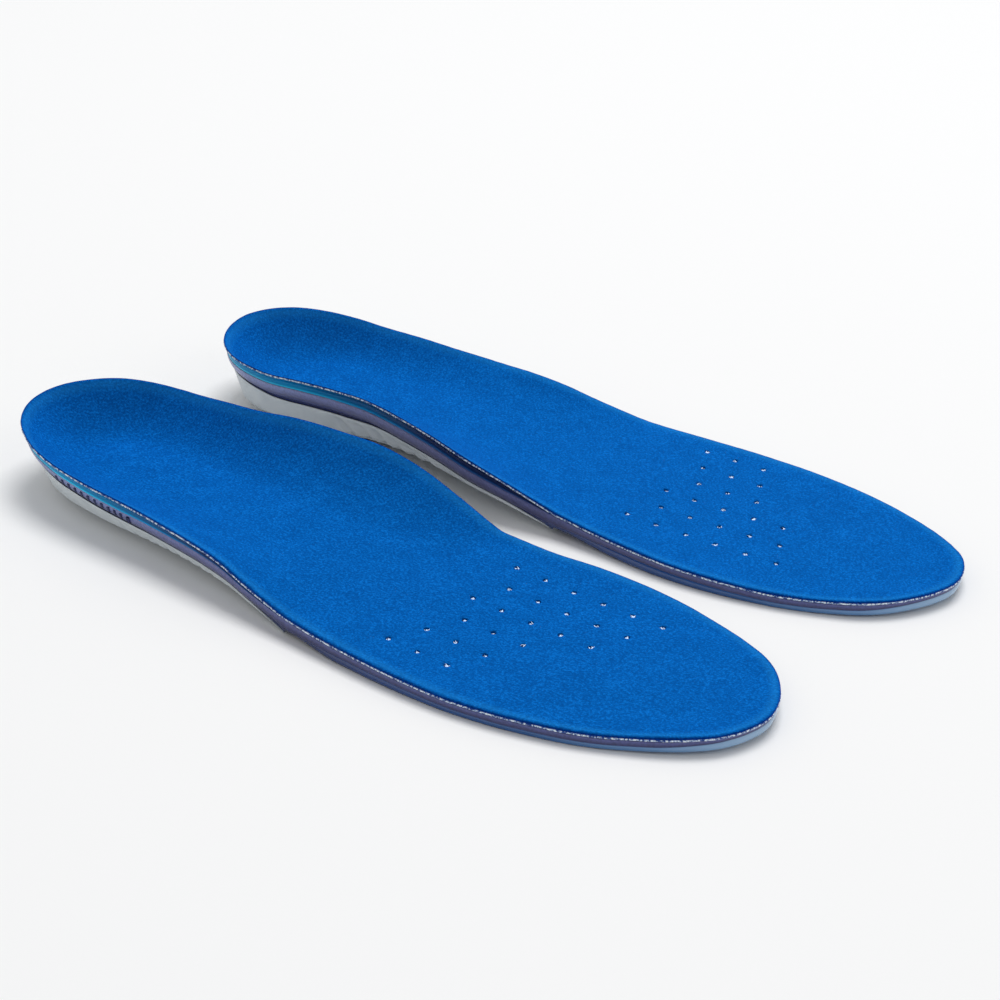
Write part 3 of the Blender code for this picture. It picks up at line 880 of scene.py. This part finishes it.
band_wall = (len(FEW_RADII), len(FEW_RADII) + WALL_ROWS - 1)
print("a band's wall is rows", band_wall[0], "to", band_wall[1])

# %% [markdown]
# Under the backing runs a band of clear-looking teal gel, poured polyurethane.  It was cast
# against a polished mould, so it is glossy, and its surface is drawn in between the layers.
# Real transmission would show the wall behind it and need many more light rays.  Here the
# thin lower lip, where light comes through, is simply a paler colour.

# %% Teal gel
INSOLE_SPAN = 300.0             # mm of insole over which colours are laid


def tinted(tree, stops):
    """Colour by place along the insole, from (mm, colour) stops."""
    place = add(tree, "ShaderNodeAttribute", attribute_name="foot_mm").outputs["Vector"]
    along = add(tree, "ShaderNodeSeparateXYZ", {"Vector": place}).outputs["X"]
    share = add(tree, "ShaderNodeMath", {0: along, 1: 1 / INSOLE_SPAN}, operation="MULTIPLY")
    return add(tree, "ShaderNodeValToRGB", {"Fac": share.outputs[0]},
               stops=[(x / INSOLE_SPAN, colour) for x, colour in stops]).outputs["Color"]


def teal_gel():
    """Dark where it is thick under the cover, and lit through along its thin lower lip."""
    material, tree, shader = blank_material("teal_polyurethane_gel")
    down = add(tree, "ShaderNodeAttribute", attribute_name="wall_share").outputs["Fac"]
    thick = tinted(tree, [(0, "#1490C8"), (45, "#007AB6"), (75, "#00548C"), (110, "#00184E"),
                          (160, "#000F38")])
    lip = tinted(tree, [(0, "#8CE4FF"), (45, "#38D4FF"), (80, "#1A98DC"), (110, "#2A66A8"),
                        (160, "#24407C")])
    thin = add(tree, "ShaderNodeValToRGB", {"Fac": down},
               stops=[(0.3, "#000000"), (0.8, "#707070"), (0.95, "#FFFFFF")])
    colour = add(tree, "ShaderNodeMix", {0: thin.outputs["Color"], 6: thick, 7: lip},
                 data_type="RGBA")
    tree.links.new(colour.outputs[2], shader.inputs["Base Color"])
    shader.inputs["Roughness"].default_value = 0.25
    shader.inputs["Specular IOR Level"].default_value = 0.08
    return material


teal_material = teal_gel()
upper = bands["upper_gel"]
teal_top = np.full(len(rim), BACKING_LOW + GEL_GAP)
teal_low = teal_top + 0.08 + (upper["low"] - teal_top) * fade()
teal_hollow = -0.25 * (teal_low - teal_top)
for side in SIDES:
    gel = build_piece(f"{side}_teal_gel", side,
                      band_rows("upper_gel", teal_top, teal_low, np.zeros(len(rim)),
                                upper["low_in"], teal_hollow),
                      band_wall, short, len(FEW_RADII))
    gel.data.materials.append(teal_material)
    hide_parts(f"{side}_upper_gel")
    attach(gel, f"{side}_rear")
print("teal band up to", round(float((teal_low - teal_top).max()), 1), "mm tall")

# %% [markdown]
# The foam midsole is moulded polyurethane foam, lavender grey.  At the heel its wall is a
# smooth satin bead that bulges between the gel above and the groove below.  Towards the toe
# the insole was cut to size with a die, so there the same band is flat and matt.

# %% Lavender foam
CELL_SIZE = 0.8                 # mm, several real cells wide so that the grain shows
CELL_HEIGHT = 0.00006           # metres that the bump stands for


def lavender_foam():
    """Satin foam skin, fine grain, painted shade low on the wall where it turns under, painted highlight at
    its bead.
    """
    material, tree, shader = blank_material("lavender_moulded_foam")
    place = add(tree, "ShaderNodeAttribute", attribute_name="foot_mm").outputs["Vector"]
    down = add(tree, "ShaderNodeAttribute", attribute_name="wall_share").outputs["Fac"]
    base = tinted(tree, [(0, "#C4C4DC"), (25, "#94A0CC"), (60, "#808ABC"), (110, "#6A70A2"),
                         (160, "#50588E"), (230, "#50588E"), (290, "#565B90")])
    cells = add(tree, "ShaderNodeTexNoise", {"Vector": place, "Scale": 1 / CELL_SIZE,
                                             "Detail": 3.0, "Roughness": 0.6}).outputs["Fac"]
    grain = add(tree, "ShaderNodeValToRGB", {"Fac": cells},
                stops=[(0.35, "#D8D8D8"), (0.6, "#FFFFFF")])
    # Painted shade down the wall where it turns under, easing into a painted highlight along the lower bead.
    painted_shade_and_highlight = add(tree, "ShaderNodeValToRGB", {"Fac": down},
               stops=[(0.0, "#FFFFFF"), (0.25, "#F0F2FF"), (0.85, "#A8A4B4"), (0.97, "#D8D8E8")])
    colour = add(tree, "ShaderNodeMix", {0: 1.0, 6: base, 7: grain.outputs["Color"]},
                 data_type="RGBA", blend_type="MULTIPLY")
    colour = add(tree, "ShaderNodeMix", {0: 1.0, 6: colour.outputs[2], 7: painted_shade_and_highlight.outputs["Color"]},
                 data_type="RGBA", blend_type="MULTIPLY")
    bumped = add(tree, "ShaderNodeBump", {"Height": cells, "Distance": CELL_HEIGHT,
                                          "Strength": 1.0})
    tree.links.new(colour.outputs[2], shader.inputs["Base Color"])
    tree.links.new(bumped.outputs["Normal"], shader.inputs["Normal"])
    shader.inputs["Roughness"].default_value = 0.38
    return material


foam_material = lavender_foam()
print("foam grain:", CELL_SIZE, "mm")

# %% [markdown]
# The foam's lower edge sets the split between foam and base.  Over the cradle it lies above a
# groove that is tallest on the arch side.  In the forefoot the foam thins towards the toe.

# %% Foam midsole
FOREFOOT_FOAM = ((174, 3.2), (200, 2.7), (235, 2.5), (245, 2.3))    # mm thick, by place
INNER_GROOVE = ((0, 0.3), (20, 0.5), (45, 1.6), (70, 1.4), (90, 0.35))
OUTER_GROOVE = ((0, 0.3), (30, 0.6), (60, 0.6), (90, 0.35))
TOE_THINNING, TOE_THIN_FROM, TOE_THIN_LENGTH = 1.3, 262, 22         # mm lost, and where
FOREFOOT_FROM, FOREFOOT_BLEND = 158, 18         # mm, where the forefoot's own heights take over
BULGE_SHARE, BULGE_END, BULGE_BLEND = 0.13, 165, 40     # of the band's height, and where it fades
LEAST_BULGE = 0.1               # share of the bulge that the die-cut wall still has

foam, base, shell = bands["foam_midsole"], bands["gel_base"], bands["arch_cradle"]
behind_end = spine_x <= CRADLE_END
wall_low = np.where(behind_end, shell["low"], base["low"])
wall_low_in = np.where(behind_end, shell["low_in"], base["low_in"])
foam_top = teal_low + GEL_GAP
foam_low = foam["low"] + SCAN_STEP / 2
thin_foam = foam_top + by_place(spine_x, FOREFOOT_FOAM)
thin_foam -= TOE_THINNING * np.clip((rim[:, 0] - TOE_THIN_FROM) / TOE_THIN_LENGTH, 0, 1)
to_forefoot = np.clip((spine_x - FOREFOOT_FROM) / FOREFOOT_BLEND, 0, 1)
foam_low = foam_low + (np.minimum(thin_foam, foam_low) - foam_low) * to_forefoot
groove = (by_place(rim[:, 0], INNER_GROOVE) * arch_side
          + by_place(rim[:, 0], OUTER_GROOVE) * (1 - arch_side))
bulge_fade = np.clip((BULGE_END - spine_x) / BULGE_BLEND, LEAST_BULGE, 1)
foam_bulge = BULGE_SHARE * (foam_low - foam_top) * bulge_fade
for side in SIDES:
    midsole = build_piece(f"{side}_foam_midsole", side,
                          band_rows("foam_midsole", foam_top, foam_low, foam["top_in"],
                                    foam["low_in"], foam_bulge), band_wall)
    midsole.data.materials.append(foam_material)
    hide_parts(f"{side}_foam_midsole_rear", f"{side}_foam_midsole_forefoot")
    full_length[side, "foam"] = midsole
print("foam band", round(float((foam_low - foam_top).max()), 1), "mm tall at most")

# %% [markdown]
# The base is dark blue gel, cast and clear enough that its thin toe edge looks pale against a
# light surface.  Over the cradle only a groove of it shows.  In front of the cradle it carries
# the insole, and its lower edge is undercut.  The pale toe is painted light coming through the
# thin edge, as colour by place, for the same reason as the teal gel's lip.

# %% Gel base
BASE_UNDERCUT = 0.7             # mm that the forefoot's lower edge lies in from the rim
BASE_INSET = 0.15               # mm that the base lies in from the foam above it
GROOVE_INSET = 0.35             # mm further in that it lies in the groove


def navy_gel():
    """Dark blue cast gel, smooth enough to need a thin clear coat for its highlights."""
    material, tree, shader = blank_material("navy_polyurethane_gel")
    # The pale end towards the toe is painted light coming through the thin gel.
    colour = tinted(tree, [(0, "#0C2C78"), (70, "#06205C"), (150, "#061E58"), (185, "#0C3A7A"),
                           (235, "#1F5490"), (268, "#5A86B6"), (288, "#8FB0D0")])
    tree.links.new(colour, shader.inputs["Base Color"])
    shader.inputs["Roughness"].default_value = 0.18
    shader.inputs["Coat Weight"].default_value = 0.4
    shader.inputs["Coat Roughness"].default_value = 0.1
    return material


navy_material = navy_gel()
base_top = foam_low + GEL_GAP
base_top_in = foam["low_in"] + BASE_INSET + GROOVE_INSET * fade()
shell_top = wall_low - (wall_low - foam_low - groove - 2 * GEL_GAP) * fade()
shell_top_in = foam["low_in"] + BASE_INSET
base_low = np.where(behind_end, np.maximum(shell_top - GEL_GAP, base_top + 0.15), wall_low)
base_low_in = base["low_in"] + (shell_top_in + 0.5 - base["low_in"]) * fade()
base_low_in = base_low_in + (BASE_UNDERCUT - base_low_in) * to_forefoot
base_bulge = (base_low - base_top) * (0.12 - 0.5 * fade())
for side in SIDES:
    gel = build_piece(f"{side}_navy_gel_base", side,
                      band_rows("gel_base", base_top, base_low, base_top_in, base_low_in,
                                base_bulge), band_wall)
    gel.data.materials.append(navy_material)
    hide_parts(f"{side}_gel_base_rear", f"{side}_gel_base_forefoot")
    full_length[side, "base"] = gel
print("base band", round(float((base_low - base_top).max()), 1), "mm tall at most")

# %% [markdown]
# The cradle is injection-moulded thermoplastic rubber, light grey and matt, with the faint
# mottle and fine grain of a blasted mould.  It cups the heel and props the arch.

# %% Grey rubber
MOTTLE_SIZE = 6.0               # mm
MOULD_GRAIN = 0.35              # mm
GRAIN_HEIGHT = 0.00008          # metres that the bump stands for


def grey_rubber():
    """Matt rubber, nearly even in colour."""
    material, tree, shader = blank_material("grey_moulded_rubber")
    place = add(tree, "ShaderNodeAttribute", attribute_name="foot_mm").outputs["Vector"]
    mottle = add(tree, "ShaderNodeTexNoise", {"Vector": place, "Scale": 1 / MOTTLE_SIZE,
                                              "Detail": 2.0, "Roughness": 0.5}).outputs["Fac"]
    grain = add(tree, "ShaderNodeTexNoise", {"Vector": place, "Scale": 1 / MOULD_GRAIN,
                                             "Detail": 2.0, "Roughness": 0.5}).outputs["Fac"]
    colour = add(tree, "ShaderNodeValToRGB", {"Fac": mottle},
                 stops=[(0.3, "#C6CED2"), (0.7, "#D2D9DC")])
    bumped = add(tree, "ShaderNodeBump", {"Height": grain, "Distance": GRAIN_HEIGHT,
                                          "Strength": 1.0})
    tree.links.new(colour.outputs["Color"], shader.inputs["Base Color"])
    tree.links.new(bumped.outputs["Normal"], shader.inputs["Normal"])
    shader.inputs["Roughness"].default_value = 0.6
    return material


grey_material = grey_rubber()
print("rubber: mottle", MOTTLE_SIZE, "mm, grain", MOULD_GRAIN, "mm")

# %% [markdown]
# Slanted ribs are moulded into the cradle where it bridges the arch, so its lower edge is wavy
# there.  They run down the wall and on under the floor.  A hollow that depends only on the
# path from the top of the wall makes wall, edge and floor agree, which cutting each rib out
# would not.

# %% Rows of the arch cradle
RIB_START, RIB_END = 58.0, 112.0
ARCH_RIB_STEP, ARCH_RIB_DEPTH = 8.2, 2.2
OUTER_RIB_STEP, OUTER_RIB_DEPTH = 5.4, 1.2
RIB_SLANT = 0.9                 # mm towards the toe for each mm down the wall or further in
RIB_RISE = 0.75                 # share of a rib's step over which it deepens
RIB_PATH = 32.0                 # mm of path over which the ribs fade out
EDGE_RADIUS = 1.4
EDGE_TURNS = (0.35, 0.7)        # places on the rounded lower edge, in quarter turns
DENSE_RADII = np.linspace(0, 1, 34)
CRADLE_WALL_ROWS = 12


def arch_ribs(row, path, start):
    """Hollow of the arch ribs, in mm, at points that lie path mm down and under from the top."""
    along = row[:, 0] - RIB_SLANT * path
    swell = np.clip((along - RIB_START) / 8, 0, 1) * np.clip((RIB_END - along) / 12, 0, 1)
    step = OUTER_RIB_STEP + (ARCH_RIB_STEP - OUTER_RIB_STEP) * arch_side
    phase = (along - RIB_START) / step % 1.0
    hollow = np.where(phase < RIB_RISE, phase / RIB_RISE, (1 - phase) / (1 - RIB_RISE)) ** 1.5
    deep = OUTER_RIB_DEPTH + (ARCH_RIB_DEPTH - OUTER_RIB_DEPTH) * arch_side
    begin = np.clip((path - start) / 2.0, 0, 1)
    return deep * swell * hollow * begin * np.clip(1 - (path - start) / RIB_PATH, 0, 1)


def cradle_rows():
    """Upper face, wall, rounded lower edge and floor of the cradle."""
    top_z, low_z = centre["arch_cradle"]
    height = wall_low - shell_top
    radius = np.minimum(EDGE_RADIUS, height * 0.45)
    plain = 0.12 * height
    rows = [face_row(r, shell_top, shell_top_in + UNDER_EDGE, top_z) for r in DENSE_RADII]
    for share in np.linspace(0, 1, CRADLE_WALL_ROWS):
        down = (height - radius) * share
        inset = shell_top_in + (wall_low_in - shell_top_in) * down / height
        hollow = arch_ribs(wall_row(shell_top + down, inset), down, plain)
        rows.append(wall_row(shell_top + down, inset + hollow))
    for turn in EDGE_TURNS:
        angle = turn * math.pi / 2
        depth = wall_low - radius * (1 - math.sin(angle))
        inset = wall_low_in + radius * (1 - math.cos(angle))
        hollow = arch_ribs(wall_row(depth, inset), height - radius * (1 - turn), plain)
        rows.append(wall_row(depth - hollow * 0.5, inset + hollow))
    for r in DENSE_RADII[::-1]:
        row = face_row(r, wall_low, wall_low_in + radius, low_z)
        row[:, 2] += arch_ribs(row, height + reach * (1 - r), plain) * 0.7
        rows.append(row)
    return rows


cradle_wall = (len(DENSE_RADII), len(DENSE_RADII) + CRADLE_WALL_ROWS + len(EDGE_TURNS) - 1)
print("cradle wall up to", round(float((wall_low - shell_top)[short].max()), 1), "mm tall")

# %% [markdown]
# The cradle's floor has a window for the heel pad.  The window and the pad are both slots, so
# one outline serves them, and the window is that outline widened by the gap round the pad.
# The window's cutter is a solid of two rings, and the pad later is one of many.

# %% Arch cradle
PAD_LENGTH, PAD_WIDTH = 40.0, 22.0
PAD_GAP = 0.25
WINDOW_LOW, WINDOW_HIGH = -2.0, 2.8     # mm above the floor that the window is cut between
SLOT_END_POINTS = 20


def slot_outline(grow):
    """Slot-shaped outline round the heel pad, widened by grow."""
    half_width = PAD_WIDTH / 2 + grow
    straight = (PAD_LENGTH - PAD_WIDTH) / 2
    turns = np.linspace(-math.pi / 2, math.pi / 2, SLOT_END_POINTS)
    front = [(PAD_CENTRE + straight + half_width * math.cos(a), half_width * math.sin(a))
             for a in turns]
    return front + [(2 * PAD_CENTRE - x, -y) for x, y in front]


def solid_from_rings(name, side, rings):
    """Closed mesh from rings of points, capped at both ends."""
    count = len(rings[0])
    points = np.concatenate([np.array(ring) for ring in rings])
    faces = [[j * count + i, j * count + (i + 1) % count, (j + 1) * count + (i + 1) % count,
              (j + 1) * count + i] for j in range(len(rings) - 1) for i in range(count)]
    faces += [list(range(count))[::-1], [(len(rings) - 1) * count + i for i in range(count)]]
    return make_object(name, side, points, faces)


for side in SIDES:
    cradle = build_piece(f"{side}_arch_cradle_shell", side, cradle_rows(), cradle_wall, short,
                         len(DENSE_RADII))
    window = solid_from_rings("window", side, [[(x, y, z) for x, y in slot_outline(PAD_GAP)]
                                               for z in (WINDOW_LOW, WINDOW_HIGH)])
    cut_with(cradle, window, side)
    cradle.data.materials.append(grey_material)
    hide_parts(f"{side}_arch_cradle")
    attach(cradle, f"{side}_rear")
    print(cradle.name, len(cradle.data.vertices), "points")

# %% [markdown]
# The heel pad is soft gel set in a window of the cradle's floor.  Its lower face is ribbed in
# rings, as such pads are, and its edges are rounded.  It is built from the same slot outline,
# ring by ring, from the top face over the edge to the middle of the lower face.

# %% Heel pad
PAD_TOP = 2.3
PAD_LOW = 0.05
PAD_RIB_STEP, PAD_RIB_HEIGHT = 2.4, 0.35


def pad_rings():
    """Rings of the pad from its top face, over its rounded edge, to its ribbed lower face."""
    rings = [[(x, y, PAD_TOP) for x, y in slot_outline(-0.4)],
             [(x, y, PAD_TOP - 0.3) for x, y in slot_outline(0.0)],
             [(x, y, 0.5) for x, y in slot_outline(0.0)],
             [(x, y, PAD_LOW) for x, y in slot_outline(-0.6)]]
    for step in np.arange(1.0, 9.6, 0.4):
        rib = PAD_RIB_HEIGHT * (1 - math.cos(step / PAD_RIB_STEP * 2 * math.pi)) / 2
        rings.append([(x, y, PAD_LOW + rib) for x, y in slot_outline(-step)])
    return rings


for side in SIDES:
    pad = solid_from_rings(f"{side}_gel_heel_pad", side, pad_rings())
    pad.data.materials.append(teal_material)
    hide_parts(f"{side}_heel_pad")
    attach(pad, f"{side}_rear")
    print(pad.name, "rings:", len(pad_rings()))

# %% [markdown]
# On the outer side of the heel the foam band carries a row of small raised bars.  They are
# plain grip ribs, moulded with the foam and inked dark blue.  Each is a small block set on the
# wall, turned to follow the rim and bevelled, so that it catches light as a real edge does.

# %% Grip ribs on the outer heel
GRIP_FROM, GRIP_TO = 36.0, 71.0
GRIP_COUNT = 12
GRIP_WIDTH, GRIP_PROUD = 1.1, 0.25
GRIP_SHARE = 0.62               # of the foam band's height
GRIP_BEVEL = 0.12

ink_material, _, ink_shader = blank_material("dark_blue_ink_on_foam")
ink_shader.inputs["Base Color"].default_value = linear("#1B2559")
ink_shader.inputs["Roughness"].default_value = 0.45


def grip_ribs(side):
    """One mesh of separate rounded bars that follow the outer wall of the foam band."""
    outer = [k for k in range(len(rim)) if outward[k][1] < -0.9 and spine_x[k] < 100]
    outer.sort(key=lambda k: rim[k][0])
    places = [rim[k][0] for k in outer]
    bars = bmesh.new()
    for x in np.linspace(GRIP_FROM, GRIP_TO, GRIP_COUNT):
        k = outer[int(np.clip(np.searchsorted(places, x), 1, len(outer) - 2))]
        height = (foam_low[k] - foam_top[k]) * GRIP_SHARE
        middle_depth = (foam_low[k] + foam_top[k]) / 2
        inset = (foam["top_in"][k] + foam["low_in"][k]) / 2 - foam_bulge[k]
        plan = rim[k][:2] - outward[k] * inset
        along = np.append(-np.array((-outward[k][1], outward[k][0])), 0.0)
        down = np.array((-outward[k][0] * 0.5, -outward[k][1] * 0.5, -1.0))
        down /= np.linalg.norm(down)
        out = np.cross(along, down)
        out *= np.sign(out[:2] @ outward[k])
        middle = np.array((*plan, rim[k][2] - middle_depth))
        made = bmesh.ops.create_cube(bars, size=1.0)["verts"]
        for vert in made:
            u, v, w = vert.co
            local = middle + along * (u * GRIP_WIDTH + v * 0.5) + down * v * height
            local = local + out * w * GRIP_PROUD * 2
            vert.co = Vector(local)
    bmesh.ops.bevel(bars, geom=list(bars.edges), offset=GRIP_BEVEL, segments=2, affect="EDGES")
    bmesh.ops.recalc_face_normals(bars, faces=bars.faces)
    bars.verts.index_update()
    points = np.array([v.co for v in bars.verts])
    faces = [[v.index for v in face.verts] for face in bars.faces]
    bars.free()
    made = make_object(f"{side}_grip_ribs", side, points, faces)
    made.data.materials.append(ink_material)
    return made


for side in SIDES:
    ribs = grip_ribs(side)
    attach(ribs, f"{side}_rear")
    print(ribs.name, len(ribs.data.vertices), "points")

# %% [markdown]
# The needle pulls fibres of the white backing up through each hole, on one side of it more than
# on the other.  They are thin tapered strands, all of one insole in one piece.  Light gets into
# loose fibre from all round, and a few strands can't show that, so a little glow stands for it.

# %% Fibres in the holes
FIBRE_LENGTH = 1.4
FIBRE_RADIUS = 0.2
FIBRES_IN_HOLE = 8
FIBRE_CORNERS = (0, 2.1, 4.2)   # radians round a strand
ROOT_DEPTH = 0.35               # mm that a strand's root lies below the cover
ROOT_OUT = 0.8                  # mm from the hole's middle to a root
BESIDE = 1.6                    # mm beside the hole's middle where the cover's height is read
READ_FROM = 40                  # mm above the floor from which it is read
# The side of a hole where its fringe stands, as an angle from the toe's direction.
FRINGE_ANGLE = {"right": math.atan2(-0.8, 0.6), "left": math.atan2(0.8, 0.6)}
FIBRE_SEED = {"right": 21, "left": 22}

fibre_material, _, fibre_shader = blank_material("white_backing_fibre")
fibre_shader.inputs["Base Color"].default_value = linear("#D6E8FF")
fibre_shader.inputs["Roughness"].default_value = 0.7
fibre_shader.inputs["Emission Color"].default_value = linear("#B4D4FF")
fibre_shader.inputs["Emission Strength"].default_value = 0.45


def fibre(points, faces, root, lean, bend_to, length):
    """A tapered strand of three joints from its root."""
    start = len(points)
    for share in (0.0, 0.5, 1.0):
        middle = root + (lean * share + bend_to * share**2) * length
        radius = FIBRE_RADIUS * (1 - 0.6 * share)
        points.extend(middle + radius * np.array((math.cos(a), math.sin(a), 0))
                      for a in FIBRE_CORNERS)
    for low in (start, start + 3):
        faces.extend([low + i, low + (i + 1) % 3, low + 3 + (i + 1) % 3, low + 3 + i]
                     for i in range(3))
    faces.extend([[start + 6, start + 7, start + 8], [start + 2, start + 1, start]])


def hole_fibres(side):
    """One mesh of all the strands that stand in one insole's holes."""
    chance = np.random.default_rng(FIBRE_SEED[side])
    cover = full_length[side, "cover"].data
    tree = BVHTree.FromPolygons([v.co for v in cover.vertices],
                                [list(p.vertices) for p in cover.polygons])
    points, faces = [], []
    for x, y in hole_places(side):
        above = to_world([(x + BESIDE, y, READ_FROM)], side)[0]
        level = tree.ray_cast(Vector(above), Vector((0, 0, -1)))[0].z / MM - ROOT_DEPTH
        for _ in range(int(chance.integers(3, FIBRES_IN_HOLE + 1))):
            angle = FRINGE_ANGLE[side] + chance.normal(0, 0.8)
            towards = np.array((math.cos(angle), math.sin(angle), 0))
            root = np.array((x, y, level)) + ROOT_OUT * towards
            lean = np.array((0, 0, 0.6)) - 0.4 * towards
            bend_to = np.append(chance.normal(0, 0.3, 2), -0.35)
            fibre(points, faces, root, lean, bend_to, FIBRE_LENGTH * chance.uniform(0.6, 1.2))
    made = make_object(f"{side}_hole_fibres", side, np.array(points), faces)
    made.data.materials.append(fibre_material)
    return made


for side in SIDES:
    fibres = hole_fibres(side)
    full_length[side, "fibres"] = fibres
    print(fibres.name, len(fibres.data.vertices), "points")

# %% [markdown]
# The four full-length layers and the fibres bend together over the ball of the foot.  A sharp
# fold at the frame's hinge would tear them, so they bend evenly over a length either side of
# it.

# %% Bending
BEND_REACH = 19.0               # mm either side of the flex line over which the insole bends


def bend(piece, side):
    """The piece bends over the flex zone, and is not moved elsewhere."""
    point = Vector(hinges[side]["pos_m"])
    along = Vector(hinges[side]["axis"]).cross(Vector((0, 0, 1)))
    along = along if along.x > 0 else -along
    reach_m = along.normalized() * BEND_REACH * MM
    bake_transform(piece, f"{side}_rear", f"{side}_forefoot", point - reach_m, point + reach_m)


for side in SIDES:
    cover, backing, midsole, gel, fibres = (full_length[side, kind] for kind in
                                            ("cover", "backing", "foam", "base", "fibres"))
    for piece in (cover, backing, midsole, gel, fibres):
        bend(piece, side)
